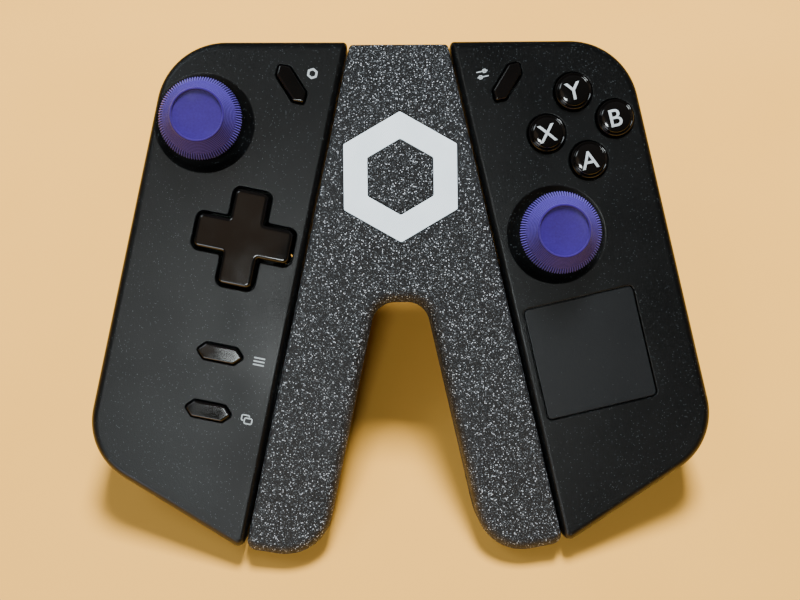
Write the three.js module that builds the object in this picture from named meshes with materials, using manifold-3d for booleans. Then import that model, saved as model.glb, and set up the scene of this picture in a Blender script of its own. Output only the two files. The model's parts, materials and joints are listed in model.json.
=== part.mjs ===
// Two handheld game controllers slid onto an A-shaped bridge grip that leans back on a table.
//
// Frames, all in millimetres:
//   face frame        X across, Y up the face, Z out of the face; Y is 0 at the leg tips.
//   controller frame  origin at a controller's inner top corner, X outwards from the bridge,
//                     Y up the inner edge, Z out of the face. Pieces are drawn for the right hand
//                     and mirrored for the left.
// The face frame is turned back by LEAN, so that the leg tips and the two grips stand on Z = 0.
import * as THREE from 'three';
import { mergeVertices } from 'three/addons/utils/BufferGeometryUtils.js';
import Module from 'manifold-3d';

const wasm = await Module();
wasm.setup();

const rad = THREE.MathUtils.degToRad;

// ---------------------------------------------------------------- driving dimensions

// How the object stands.
const LEAN = rad(33); // face plane to table
const SPLAY = rad(12.29); // controller's inner edge to the line of symmetry
const FOOT_SETBACK = 7; // leg tips touch the table this far behind the face
const APEX_HALF_WIDTH = 12.83; // line of symmetry to a controller's inner top corner

// General fits.
const GAP = 0.3; // between pieces that touch on the real object
const SLIDING_GAP = 0.4; // round everything that moves in a hole
const WALL = 1.8; // moulded shell walls
const CUT = 60; // overshoot of cutting tools

// Bridge.
const BRIDGE_DEPTH = 15;
const BRIDGE_TOP_DROP = 0.6; // bridge top below the controllers' tops
const LEG_WIDTH = 19.8;
const ARCH_TOP = 62.9;
const ARCH_RADIUS = 6;
const TIP_RADIUS = 12; // inner corner of a leg tip
const TIP_OUTER_RADIUS = 2.5;
const TIP_RISE = rad(10); // leg end, rising outwards
const BRIDGE_FILLET = 3; // front edge round the arch and the leg tips
const BRIDGE_TOP_FILLET = 1;
const BRIDGE_SIDE_FILLET = 0.5;
const EMBLEM_HEIGHT = 94.4; // centre of the inlay above the leg tips
const EMBLEM_RADIUS = 16.6; // to the ring's outer corners
const EMBLEM_INNER_RADIUS = 9.6;
const EMBLEM_THICKNESS = 0.9;
const EMBLEM_RECESS = 0.15;

// Rail of each controller and its channel in the bridge.
const RAIL_TOP = 22; // below the inner top corner
const RAIL_LENGTH = 88;
const RAIL_CENTRE_DEPTH = 8.25;
const RAIL_NECK = 3.4;
const RAIL_HEAD = 7.4;
const RAIL_NECK_REACH = 2.2;
const RAIL_HEAD_REACH = 3.6;
const RAIL_STOP_GAP = 0.8; // rail's lower end to the end of the channel

// Controller outline.
const CONTROLLER_WIDTH = 44;
const CONTROLLER_HEIGHT = 130.9; // along the inner edge
const TOP_SLOPE = rad(12.1);
const BOTTOM_SLOPE = rad(20.1);
const TOP_CORNER_RADIUS = 17.8;
const BOTTOM_CORNER_RADIUS = 16.5;
const INNER_TOP_RADIUS = 1;
const INNER_BOTTOM_RADIUS = 1.8;
const CORNER_LIFT = 1; // controllers' lowest corners above the leg tips
const FRAME_HEIGHT = CONTROLLER_HEIGHT * Math.cos(SPLAY) + CORNER_LIFT;

// Controller shells.
const COVER_DEPTH = 8.5; // face to the parting line
const BODY_DEPTH = 20; // face to the flat part of the back
const FACE_PLATE = 2.2;
const OUTER_EDGE_FILLET = 2.2;
const INNER_EDGE_FILLET = 1.2;
const BACK_EDGE_FILLET = 3.5;
const TABLE_CLEARANCE = 1; // shells below the grips keep this far off the table
const GRIP_DEPTH = 42.3; // face to the deepest point of the grip
const GRIP_INNER = 13; // grip's inner side from the inner edge
const GRIP_OUTER_INSET = 0.5; // grip's outer side from the outer edge
const GRIP_TOP = 44; // below the inner top corner
const GRIP_ROUNDING = 13;
const GRIP_TOP_SLOPE = 2.5; // times the rounding
const GRIP_CORNER_RADIUS = 14;
const GRIP_RELIEF = 3; // foot of the grip's lower slope above the table
const GRIP_SOLE = 1.2; // depth of the flat that the grip's slope has where it stands

// Sticks.
const STICK_LEFT = { x: 30.9, y: -27.8 };
const STICK_RIGHT = { x: 15.3, y: -53.9 };
const STICK_WELL_RADIUS = 12;
const STICK_WELL_FLOOR_RADIUS = 8.8;
const STICK_PIVOT_DEPTH = 9.6;
const STICK_RIM_RADIUS = 10.25;
const STICK_RIM_HEIGHT = 5.2; // above the face
const STICK_RIM_THICKNESS = 1.4;
const STICK_NECK_RADIUS = 4;
const STICK_DISH_RADIUS = 6.5;
const STICK_TOP = 9.8;
const STICK_DISH_DEPTH = 0.9;
const STICK_CLICK = 0.3; // travel when pressed in
const STICK_SHAFT_RADIUS = 1.7;
const STICK_DOME_RADIUS = 8.4;
const STICK_DOME_WALL = 0.8;
const STICK_DOME_ANGLE = rad(54);
const STICK_BALL_RADIUS = 2.8;
const YOKE_THICKNESS = 1.6;
const YOKE_RING = 1.5;
const YOKE_PIN_RADIUS = 0.7;
const YOKE_PIN_REACH = 8;
const HOUSING_SIDE = 17.2;
const HOUSING_CORNER_RADIUS = 4;
const HOUSING_ABOVE_PIVOT = 0.8;
const HOUSING_BELOW_PIVOT = 6.4;
const HOUSING_TOP_DEPTH = STICK_PIVOT_DEPTH - HOUSING_ABOVE_PIVOT;
const HOUSING_BOTTOM_DEPTH = STICK_PIVOT_DEPTH + HOUSING_BELOW_PIVOT;
const HOUSING_FLOOR = 1;
const HOUSING_CAVITY_RADIUS = 7.6;

// Directional pad.
const DPAD = { x: 15.4, y: -54.2 };
const DPAD_SPAN = 24;
const DPAD_ARM = 8.4;
const DPAD_CLEARANCE = 0.7; // round the pad in its well
const DPAD_HEIGHT = 1.3; // above the face
const DPAD_BOTTOM_DEPTH = 3.4;
const DPAD_BEVEL = 0.7;
const DPAD_CORNER_RADIUS = 1.3;
const DPAD_PIVOT_RADIUS = 2.4;
const DPAD_PIVOT_DEPTH = 6.4;

// Round face buttons.
const DIAMOND = { x: 27.55, y: -28.55 };
const DIAMOND_RADIUS = 8.9;
const BUTTON_RADIUS = 4.65;
const BUTTON_CLEARANCE = 0.3;
const BUTTON_HEIGHT = 1.7;
const BUTTON_FLANGE = 0.6; // wider than its hole, below the face plate
const BUTTON_FLANGE_THICKNESS = 0.8;
const BUTTON_BOTTOM_DEPTH = 4.8;
const BUTTON_TRAVEL = 0.9;

// Six-sided buttons.
const HEX_LENGTH = 11.4;
const HEX_WIDTH = 3.9;
const HEX_POINT = 1.9; // length of each pointed end
const HEX_CLEARANCE = 0.3;
const HEX_HEIGHT = 0.9;
const HEX_BEVEL = 0.5;
const HEX_BOTTOM_DEPTH = 4.6;
const SHORTCUT = { x: 11.6, y: -13.8, turn: 46 };
const SETTINGS = { x: 11.8, y: -13.6, turn: 46 };
const MENU = { x: 15.4, y: -83.5, turn: 0 };
const VIEW = { x: 15.4, y: -98.1, turn: 0 };

// Trackpad.
const PAD = { x: 16.9, y: -85 };
const PAD_SIDE = 28.2;
const PAD_CORNER_RADIUS = 1.2;
const PAD_GROOVE = 0.35;
const PAD_THICKNESS = 1.3;
const PAD_RECESS = 0.15;
const PAD_LEDGE = 2; // face plate left under the pad's edge

// Rubber mats under the buttons.
const MAT_TOP_DEPTH = 6.9;
const MAT_THICKNESS = 1;
const MAT_DOME_RADIUS = 2.6;
const MAT_MARGIN = 6; // round the outermost domes

// Shoulder button.
const BUMPER_THICKNESS = 3.4;
const BUMPER_INSET = 0.3;
const BUMPER_NEAR = 9; // inner end from the inner edge
const BUMPER_LOW = 21; // outer end below the inner top corner
const BUMPER_FRONT_DEPTH = 9.4;
const BUMPER_BACK_DEPTH = 16.4;
const BUMPER_TRAVEL_ROOM = 1.8;

// Trigger.
const TRIGGER_NEAR = 15.4;
const TRIGGER_WIDTH = 22.4;
const TRIGGER_PIN = { y: -14, depth: BODY_DEPTH + 5.5 };
const TRIGGER_PIN_RADIUS = 1.2;
const TRIGGER_LUG = 2;
const TRIGGER_LUG_RADIUS = 3.2;
const TRIGGER_TOP = { y: -9.4, depth: BODY_DEPTH + 2.8 };
const TRIGGER_CROWN = { y: -12.5, depth: BODY_DEPTH + 16.5 };
const TRIGGER_TIP = { y: -33, depth: BODY_DEPTH + 18.5 };
const TRIGGER_WALL = 3;

// Pieces on the back.
const RELEASE = { x: 6.6, y: -30, width: 5.6, length: 13 };
const PADDLE_UPPER = { x: 7.2, y: -62, width: 6.4, length: 15 };
const PADDLE_LOWER = { x: 7.2, y: -80, width: 6.4, length: 15 };
const BACK_BUTTON_PROUD = 1.8;
const BACK_BUTTON_ROOM = 1.1; // inside end behind the flat back
const BACK_BUTTON_BEVEL = 0.7;
const SCREW_RADIUS = 2.2;
const SCREW_HEAD = 1;
const SCREW_SHANK_RADIUS = 0.9;
const SCREW_UPPER = { x: 5.4, y: -46 };
const SCREW_LOWER = { x: 5.4, y: -95 };

// Scroll wheel.
const WHEEL = { x: 27, y: -57, depth: GRIP_DEPTH - 8.7 };
const WHEEL_RADIUS = 5.6;
const WHEEL_WIDTH = 4;
const WHEEL_RIBS = 16;
const WHEEL_RIB_DEPTH = 0.5;
const AXLE_RADIUS = 0.9;
const AXLE_BEARING = 2.2;

// Inside pieces.
const BOARD_THICKNESS = 1.2;
const BOARD_INSET = 7;
const BOARD_BACK_DEPTH = HOUSING_BOTTOM_DEPTH + GAP + BOARD_THICKNESS;
const BOARD_TOP = 17; // below the inner top corner
const BOARD_BOTTOM = 96;
const BATTERY = { x: 28.2, y: -79, width: 18, length: 32, thickness: 8 };
const BATTERY_SPACE = 2.1; // board to battery
const BATTERY_CORNER_RADIUS = 1.5;
const MOTOR = { x: 25.5, y: -104.3, side: 10, depth: 14.2, thickness: 4.6 };
const MOTOR_CORNER_RADIUS = 2;

// Rounding quality.
const CORNER_STEPS = 6;
const SMALL_CORNER_STEPS = 3;
const FILLET_STEPS = 3;
const ROUND_STEPS = 22;
const SMALL_ROUND_STEPS = 12;
const SMALLEST_RADIUS = 0.15;

// ---------------------------------------------------------------- finishes

const finish = (color, roughness, metalness = 0) => ({ color, roughness, metalness });
const SHELL_BLACK = finish(0x1d1e21, 0.5, 0.1);
const GRIP_BLACK = finish(0x161718, 0.75);
const GLOSS_BLACK = finish(0x08080a, 0.12);
const GLITTER_GREY = finish(0x3a3b3c, 0.8);
const INLAY_WHITE = finish(0xd9e0e2, 0.5);
const STICK_PURPLE = finish(0x46359a, 0.6);
const STEEL = finish(0x9a9da1, 0.35, 1);
const BOARD_GREEN = finish(0x1f4a35, 0.6);
const RUBBER_GREY = finish(0x4a4c50, 0.9);
const BATTERY_SILVER = finish(0xa8abad, 0.45, 0.6);

// ---------------------------------------------------------------- solids

// A closed solid from a closed geometry.
function solid(geometry) {
  geometry.deleteAttribute('normal');
  geometry.deleteAttribute('uv');
  const merged = mergeVertices(geometry);
  const index = Array.from(merged.index.array);
  const triangles = [];
  for (let i = 0; i < index.length; i += 3) {
    const [a, b, c] = index.slice(i, i + 3);
    if (a !== b && b !== c && c !== a) {
      triangles.push(a, b, c);
    }
  }
  return new wasm.Manifold(new wasm.Mesh({
    numProp: 3,
    vertProperties: new Float32Array(merged.attributes.position.array),
    triVerts: new Uint32Array(triangles),
  }));
}

// A box between two corners.
function box([x0, y0, z0], [x1, y1, z1]) {
  const geometry = new THREE.BoxGeometry(x1 - x0, y1 - y0, z1 - z0);
  geometry.translate((x0 + x1) / 2, (y0 + y1) / 2, (z0 + z1) / 2);
  return solid(geometry);
}

// A round bar along Z, or a cone where the two radii differ.
function bar(x, y, z0, z1, radius, topRadius = radius, steps = ROUND_STEPS) {
  const geometry = new THREE.CylinderGeometry(topRadius, radius, z1 - z0, steps);
  geometry.rotateX(Math.PI / 2);
  geometry.translate(x, y, (z0 + z1) / 2);
  return solid(geometry);
}

// A round bar along X.
function crossBar(x0, x1, y, z, radius, steps = SMALL_ROUND_STEPS) {
  const geometry = new THREE.CylinderGeometry(radius, radius, x1 - x0, steps);
  geometry.rotateZ(Math.PI / 2);
  geometry.translate((x0 + x1) / 2, y, z);
  return solid(geometry);
}

// A turned piece: the profile lists [radius, z] from its lower end on the axis to its upper end.
function turned(x, y, profile, steps = ROUND_STEPS) {
  const points = profile.map(([radius, z]) => new THREE.Vector2(radius, z));
  const geometry = new THREE.LatheGeometry(points, steps);
  geometry.rotateX(Math.PI / 2);
  geometry.translate(x, y, 0);
  return solid(geometry);
}

// An outline pushed straight along Z.
function plate(points, z0, z1) {
  const geometry = new THREE.ExtrudeGeometry(new THREE.Shape(points), {
    depth: z1 - z0,
    bevelEnabled: false,
  });
  geometry.translate(0, 0, z0);
  return solid(geometry);
}

// A solid through outlines of equal point count, listed from the lowest z to the highest.
function lofted(sections) {
  const size = sections[0].points.length;
  const positions = sections.flatMap(({ points, z }) => points.flatMap((p) => [p.x, p.y, z]));
  const index = [];
  for (let level = 0; level < sections.length - 1; level += 1) {
    for (let i = 0; i < size; i += 1) {
      const here = level * size + i;
      const next = level * size + ((i + 1) % size);
      index.push(here, next, next + size, here, next + size, here + size);
    }
  }
  const last = (sections.length - 1) * size;
  const lowest = THREE.ShapeUtils.triangulateShape(sections[0].points, []);
  const highest = THREE.ShapeUtils.triangulateShape(sections[sections.length - 1].points, []);
  lowest.forEach(([a, b, c]) => index.push(a, c, b));
  highest.forEach(([a, b, c]) => index.push(last + a, last + b, last + c));
  const geometry = new THREE.BufferGeometry();
  geometry.setAttribute('position', new THREE.Float32BufferAttribute(positions, 3));
  geometry.setIndex(index);
  return solid(geometry);
}

// Where the line through an edge meets the line through the next edge.
function crossing(edge, next) {
  const between = next.start.clone().sub(edge.start);
  const distance = between.cross(next.along) / edge.along.cross(next.along);
  return edge.start.clone().addScaledVector(edge.along, distance);
}

// A counter-clockwise outline with rounded corners { x, y, r, steps }. Each edge, from its corner
// to the next one, moves inwards by the one inset or by its own entry of a list.
function outline(corners, inset = 0) {
  const edges = corners.map((corner, i) => {
    const next = corners[(i + 1) % corners.length];
    const along = new THREE.Vector2(next.x - corner.x, next.y - corner.y).normalize();
    const inward = new THREE.Vector2(-along.y, along.x);
    const shift = Array.isArray(inset) ? inset[i] : inset;
    const start = new THREE.Vector2(corner.x, corner.y).addScaledVector(inward, shift);
    return { along, inward, shift, start };
  });
  return corners.flatMap((corner, i) => {
    const before = edges[(i + edges.length - 1) % edges.length];
    const after = edges[i];
    const tip = crossing(before, after);
    const turn = Math.atan2(before.along.cross(after.along), before.along.dot(after.along));
    const bend = Math.sign(turn);
    const shrink = bend * Math.min(before.shift, after.shift);
    const radius = Math.max(corner.r - shrink, SMALLEST_RADIUS);
    const centre = tip.clone()
      .addScaledVector(before.along, -radius * Math.tan(Math.abs(turn) / 2))
      .addScaledVector(before.inward, bend * radius);
    const first = Math.atan2(-bend * before.inward.y, -bend * before.inward.x);
    const steps = corner.steps ?? SMALL_CORNER_STEPS;
    return Array.from({ length: steps + 1 }, (_, k) => {
      const angle = first + (turn * k) / steps;
      return new THREE.Vector2(Math.cos(angle), Math.sin(angle)).multiplyScalar(radius).add(centre);
    });
  });
}

// A plate whose upper edge is rounded off, each edge by its own radius.
function filletedPlate(corners, z0, z1, radii, steps = FILLET_STEPS) {
  const each = corners.map((_, i) => (Array.isArray(radii) ? radii[i] : radii));
  const height = Math.max(...each);
  const sections = [{ z: z0, points: outline(corners) }];
  for (let k = 0; k <= steps; k += 1) {
    const angle = (k / steps) * (Math.PI / 2);
    sections.push({
      z: z1 - height * (1 - Math.sin(angle)),
      points: outline(corners, each.map((radius) => radius * (1 - Math.cos(angle)))),
    });
  }
  return lofted(sections);
}

// The four corners of a rectangle, or of a square where only one side is given.
function rectangle({ x, y }, width, length, radius) {
  const corner = (i, j) => ({ x: x + (i * width) / 2, y: y + (j * length) / 2, r: radius });
  return [corner(-1, -1), corner(1, -1), corner(1, 1), corner(-1, 1)];
}

// ---------------------------------------------------------------- frames and the table

const faceFrame = new THREE.Group();
faceFrame.rotation.x = LEAN;
faceFrame.position.z = FOOT_SETBACK * Math.cos(LEAN);

// A group in the controller frame of the right (side = 1) or the left (side = -1).
function controllerFrame(side) {
  const group = new THREE.Group();
  group.position.set(side * APEX_HALF_WIDTH, FRAME_HEIGHT, 0);
  group.rotation.z = side * SPLAY;
  faceFrame.add(group);
  return group;
}

const rightFrame = controllerFrame(1);
const leftFrame = controllerFrame(-1);
faceFrame.updateMatrixWorld(true);

// Everything lower than a height above the table, in the frame of a group.
function belowTable(group, height = 0) {
  const reach = 3 * FRAME_HEIGHT;
  const slab = box([-reach, -reach, -reach], [reach, reach, height]);
  return slab.transform(group.matrixWorld.clone().invert().toArray());
}

// The controller-frame y at which the table lies at a depth behind the face.
function tableLine(x, depth) {
  const up = (depth - FOOT_SETBACK) / Math.tan(LEAN);
  return (up - FRAME_HEIGHT - x * Math.sin(SPLAY)) / Math.cos(SPLAY);
}

// ---------------------------------------------------------------- bridge

// The bridge's outline: an A with a flat top, straight sides and an arch between its legs.
function bridgeCorners() {
  const sideX = (y) => APEX_HALF_WIDTH - SLIDING_GAP / Math.cos(SPLAY)
    + (FRAME_HEIGHT - y) * Math.tan(SPLAY);
  const wallX = (y) => sideX(y) - LEG_WIDTH / Math.cos(SPLAY);
  const top = FRAME_HEIGHT - BRIDGE_TOP_DROP;
  // The leg's end rises outwards, and its rounded inner corner reaches down to y = 0.
  const lowest = wallX(0) + TIP_RADIUS / Math.cos(SPLAY);
  const endY = (x) => (x - lowest) * Math.tan(TIP_RISE) - TIP_RADIUS * (1 / Math.cos(TIP_RISE) - 1);
  const onEnd = (lineX) => {
    let y = 0;
    for (let i = 0; i < FILLET_STEPS * 4; i += 1) {
      y = endY(lineX(y));
    }
    return { x: lineX(y), y };
  };
  const outer = { ...onEnd(sideX), r: TIP_OUTER_RADIUS };
  const inner = { ...onEnd(wallX), r: TIP_RADIUS, steps: CORNER_STEPS };
  const shoulder = { x: sideX(top), y: top, r: INNER_TOP_RADIUS };
  const crown = { x: wallX(ARCH_TOP), y: ARCH_TOP, r: ARCH_RADIUS, steps: CORNER_STEPS };
  const mirrored = (corner) => ({ ...corner, x: -corner.x });
  return [
    outer, shoulder, mirrored(shoulder), mirrored(outer),
    mirrored(inner), mirrored(crown), crown, inner,
  ];
}

// The channel that a controller's rail slides in, open at the bridge's top.
function railChannel(side) {
  const bottom = -RAIL_TOP - RAIL_LENGTH - RAIL_STOP_GAP;
  const room = SLIDING_GAP;
  const layer = (half, x0, x1) => box(
    [x0, bottom, -RAIL_CENTRE_DEPTH - half - room],
    [x1, CUT, -RAIL_CENTRE_DEPTH + half + room],
  );
  const neck = layer(RAIL_NECK / 2, -RAIL_NECK_REACH, CUT / 2);
  const head = layer(RAIL_HEAD / 2, -RAIL_HEAD_REACH - room, -RAIL_NECK_REACH + room);
  const channel = neck.add(head);
  const group = side > 0 ? rightFrame : leftFrame;
  return (side > 0 ? channel : channel.mirror([1, 0, 0])).transform(group.matrix.toArray());
}

function hexagon(radius) {
  return Array.from({ length: 6 }, (_, k) => {
    const angle = (k / 6) * 2 * Math.PI + Math.PI / 2;
    return {
      x: radius * Math.cos(angle),
      y: EMBLEM_HEIGHT + radius * Math.sin(angle),
      r: SMALLEST_RADIUS,
      steps: 1,
    };
  });
}

function bridgeFrame() {
  const legs = [BRIDGE_FILLET, BRIDGE_FILLET, BRIDGE_FILLET, BRIDGE_FILLET, BRIDGE_FILLET];
  const fillets = [BRIDGE_SIDE_FILLET, BRIDGE_TOP_FILLET, BRIDGE_SIDE_FILLET, ...legs];
  const pocketDepth = EMBLEM_THICKNESS + EMBLEM_RECESS + GAP;
  const pocket = plate(outline(hexagon(EMBLEM_RADIUS + GAP)), -pocketDepth, CUT)
    .subtract(plate(outline(hexagon(EMBLEM_INNER_RADIUS - GAP)), -CUT, 2 * CUT));
  return filletedPlate(bridgeCorners(), -BRIDGE_DEPTH, 0, fillets)
    .subtract(railChannel(1))
    .subtract(railChannel(-1))
    .subtract(pocket)
    .subtract(belowTable(faceFrame));
}

function emblemInlay() {
  const back = -EMBLEM_THICKNESS - EMBLEM_RECESS;
  return plate(outline(hexagon(EMBLEM_RADIUS)), back, -EMBLEM_RECESS)
    .subtract(plate(outline(hexagon(EMBLEM_INNER_RADIUS)), -CUT, CUT));
}

// ---------------------------------------------------------------- controller shells

const controllerCorners = [
  { x: 0, y: -CONTROLLER_HEIGHT, r: INNER_BOTTOM_RADIUS },
  {
    x: CONTROLLER_WIDTH,
    y: -CONTROLLER_HEIGHT + CONTROLLER_WIDTH * Math.tan(BOTTOM_SLOPE),
    r: BOTTOM_CORNER_RADIUS,
    steps: CORNER_STEPS,
  },
  {
    x: CONTROLLER_WIDTH,
    y: -CONTROLLER_WIDTH * Math.tan(TOP_SLOPE),
    r: TOP_CORNER_RADIUS,
    steps: CORNER_STEPS,
  },
  { x: 0, y: 0, r: INNER_TOP_RADIUS },
];

// The hexagonal outline of a long button, grown by a clearance.
function hexButtonCorners({ x, y, turn }, grow) {
  const half = HEX_LENGTH / 2;
  const shoulder = half - HEX_POINT;
  const side = HEX_WIDTH / 2;
  const cos = Math.cos(rad(turn));
  const sin = Math.sin(rad(turn));
  const flat = [[-shoulder, -side], [shoulder, -side], [half, 0], [shoulder, side],
    [-shoulder, side], [-half, 0]];
  const corners = flat.map(([u, v]) => ({ x: x + u * cos - v * sin, y: y + u * sin + v * cos, r: 0.5 }));
  return outline(corners.map((corner) => ({ ...corner, r: corner.r + grow, steps: 2 })), -grow);
}

// The twelve corners of a cross.
function crossCorners({ x, y }, span, arm, radius) {
  const far = span / 2;
  const near = arm / 2;
  const quarter = [[near, -far], [near, -near], [far, -near]];
  return [0, 1, 2, 3].flatMap((k) => {
    const cos = Math.round(Math.cos((k * Math.PI) / 2));
    const sin = Math.round(Math.sin((k * Math.PI) / 2));
    return quarter.map(([u, v]) => ({ x: x + u * cos - v * sin, y: y + u * sin + v * cos, r: radius }));
  });
}

function stickWell({ x, y }) {
  const cone = bar(x, y, -FACE_PLATE, 0, STICK_WELL_FLOOR_RADIUS, STICK_WELL_RADIUS);
  return cone
    .add(bar(x, y, -CUT, -FACE_PLATE / 2, STICK_WELL_FLOOR_RADIUS))
    .add(bar(x, y, -FACE_PLATE / 100, CUT, STICK_WELL_RADIUS));
}

function hexHole(place) {
  return plate(hexButtonCorners(place, HEX_CLEARANCE), -CUT, CUT);
}

const diamondPlaces = {
  a: { x: DIAMOND.x, y: DIAMOND.y - DIAMOND_RADIUS },
  b: { x: DIAMOND.x + DIAMOND_RADIUS, y: DIAMOND.y },
  x: { x: DIAMOND.x - DIAMOND_RADIUS, y: DIAMOND.y },
  y: { x: DIAMOND.x, y: DIAMOND.y + DIAMOND_RADIUS },
};

// Front half: the face plate with its skirt, before the openings of either hand are cut.
function coverBlank(group) {
  const fillets = [OUTER_EDGE_FILLET, OUTER_EDGE_FILLET, OUTER_EDGE_FILLET, INNER_EDGE_FILLET];
  const inside = plate(outline(controllerCorners, WALL), -CUT, -FACE_PLATE);
  return filletedPlate(controllerCorners, -COVER_DEPTH, 0, fillets)
    .subtract(inside.subtract(belowTable(group, TABLE_CLEARANCE + WALL)))
    .subtract(belowTable(group, TABLE_CLEARANCE));
}

function leftCover() {
  const cross = outline(crossCorners(DPAD, DPAD_SPAN, DPAD_ARM, DPAD_CORNER_RADIUS), -DPAD_CLEARANCE);
  return coverBlank(rightFrame)
    .subtract(stickWell(STICK_LEFT))
    .subtract(plate(cross, -CUT, CUT))
    .subtract(hexHole(SHORTCUT))
    .subtract(hexHole(MENU))
    .subtract(hexHole(VIEW));
}

function rightCover() {
  const seat = outline(rectangle(PAD, PAD_SIDE, PAD_SIDE, PAD_CORNER_RADIUS), -PAD_GROOVE);
  const window = outline(rectangle(PAD, PAD_SIDE, PAD_SIDE, PAD_CORNER_RADIUS), PAD_LEDGE);
  const seatDepth = PAD_THICKNESS + PAD_RECESS + GAP;
  return Object.values(diamondPlaces).reduce(
    (cover, { x, y }) => cover.subtract(bar(x, y, -CUT, CUT, BUTTON_RADIUS + BUTTON_CLEARANCE)),
    coverBlank(rightFrame)
      .subtract(stickWell(STICK_RIGHT))
      .subtract(hexHole(SETTINGS))
      .subtract(plate(seat, -seatDepth, CUT))
      .subtract(plate(window, -CUT, CUT)),
  );
}

// The grip: outlines that close in towards its deepest line. Its lower side follows the table.
function gripBody(skin) {
  const outerX = CONTROLLER_WIDTH - GRIP_OUTER_INSET;
  const middleX = (GRIP_INNER + outerX) / 2;
  const tilt = (x) => (middleX - x) * Math.tan(SPLAY);
  const base = BODY_DEPTH - BACK_EDGE_FILLET;
  const rise = GRIP_DEPTH - base;
  const sections = [];
  for (let k = CORNER_STEPS; k >= 0; k -= 1) {
    const angle = (k / CORNER_STEPS) * (Math.PI / 2);
    const depth = base + rise * Math.sin(angle);
    const inset = GRIP_ROUNDING * (1 - Math.cos(angle));
    const relief = GRIP_RELIEF * (1 - k / CORNER_STEPS) - GRIP_SOLE;
    const lowY = tableLine(middleX, depth) + relief;
    const highY = -GRIP_TOP - GRIP_TOP_SLOPE * inset;
    const radius = Math.max(GRIP_CORNER_RADIUS - inset, 1);
    const corners = [
      { x: GRIP_INNER + inset, y: lowY + tilt(GRIP_INNER + inset) },
      { x: outerX - inset, y: lowY + tilt(outerX - inset) },
      { x: outerX - inset, y: highY },
      { x: GRIP_INNER + inset, y: highY },
    ].map((corner) => ({ ...corner, r: radius, steps: CORNER_STEPS / 2 }));
    sections.push({ z: -depth + skin, points: outline(corners, skin) });
  }
  sections.push({ z: -COVER_DEPTH - BUMPER_TRAVEL_ROOM, points: sections[sections.length - 1].points });
  return lofted(sections);
}

// Back half: a tray with the grip on it, hollow, and cut for the pieces that sit in it.
function rearBlank(group) {
  const flipped = (corners) => corners.map((corner) => ({ ...corner, x: -corner.x })).reverse();
  const turnedOver = (piece) => piece.rotate([0, 180, 0]);
  const tray = turnedOver(
    filletedPlate(flipped(controllerCorners), COVER_DEPTH + GAP, BODY_DEPTH, BACK_EDGE_FILLET),
  );
  const trayInside = turnedOver(filletedPlate(
    flipped(controllerCorners),
    COVER_DEPTH + GAP - CUT,
    BODY_DEPTH,
    BACK_EDGE_FILLET,
  ));
  const narrow = plate(outline(controllerCorners, WALL), -BODY_DEPTH + WALL, CUT);
  const outside = tray.subtract(belowTable(group, TABLE_CLEARANCE))
    .add(gripBody(0).intersect(plate(outline(controllerCorners), -CUT, 0)).subtract(belowTable(group)));
  const inside = trayInside.intersect(narrow)
    .add(gripBody(WALL))
    .subtract(belowTable(group, TABLE_CLEARANCE + WALL));
  return outside.subtract(inside);
}

function bumperBand(grow) {
  const ring = plate(
    outline(controllerCorners, BUMPER_INSET - grow),
    -BUMPER_BACK_DEPTH - grow,
    -BUMPER_FRONT_DEPTH + grow,
  ).subtract(plate(outline(controllerCorners, BUMPER_INSET + BUMPER_THICKNESS + grow), -CUT, CUT));
  const window = box([BUMPER_NEAR - grow, -BUMPER_LOW - grow, -CUT], [CUT, CUT, 0]);
  return ring.intersect(window);
}

// Two lugs on the back that hold the trigger's pin.
function triggerLugs() {
  const lug = (x0) => {
    const x1 = x0 + TRIGGER_LUG;
    const eye = crossBar(x0, x1, TRIGGER_PIN.y, -TRIGGER_PIN.depth, TRIGGER_LUG_RADIUS, ROUND_STEPS);
    const root = box(
      [x0, TRIGGER_PIN.y - TRIGGER_LUG_RADIUS, -TRIGGER_PIN.depth],
      [x1, TRIGGER_PIN.y + TRIGGER_LUG_RADIUS, -BODY_DEPTH + WALL / 2],
    );
    return eye.add(root);
  };
  const near = TRIGGER_NEAR - GAP - TRIGGER_LUG;
  const far = TRIGGER_NEAR + TRIGGER_WIDTH + GAP;
  const pinHole = crossBar(0, CUT, TRIGGER_PIN.y, -TRIGGER_PIN.depth, TRIGGER_PIN_RADIUS + GAP);
  return lug(near).add(lug(far)).subtract(pinHole);
}

function backButtonCorners({ x, y, width, length }) {
  return rectangle({ x, y }, width, length, width / 2 - SMALLEST_RADIUS);
}

function backHole(button) {
  return plate(outline(backButtonCorners(button), -SLIDING_GAP), -CUT, -BODY_DEPTH + 2 * WALL);
}

function screwHole({ x, y }) {
  return bar(x, y, -CUT, -BODY_DEPTH + SCREW_HEAD + GAP, SCREW_RADIUS + GAP)
    .add(bar(x, y, -CUT, -BODY_DEPTH + 2 * WALL, SCREW_SHANK_RADIUS + GAP));
}

function rearShell(group, buttons) {
  const shell = rearBlank(group)
    .subtract(bumperBand(SLIDING_GAP).add(bumperBand(SLIDING_GAP).translate([0, -WALL, 0])))
    .add(triggerLugs())
    .subtract(screwHole(SCREW_UPPER))
    .subtract(screwHole(SCREW_LOWER));
  return buttons.reduce((rest, button) => rest.subtract(backHole(button)), shell);
}

function leftRearShell() {
  return rearShell(rightFrame, [RELEASE, PADDLE_UPPER, PADDLE_LOWER]);
}

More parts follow.
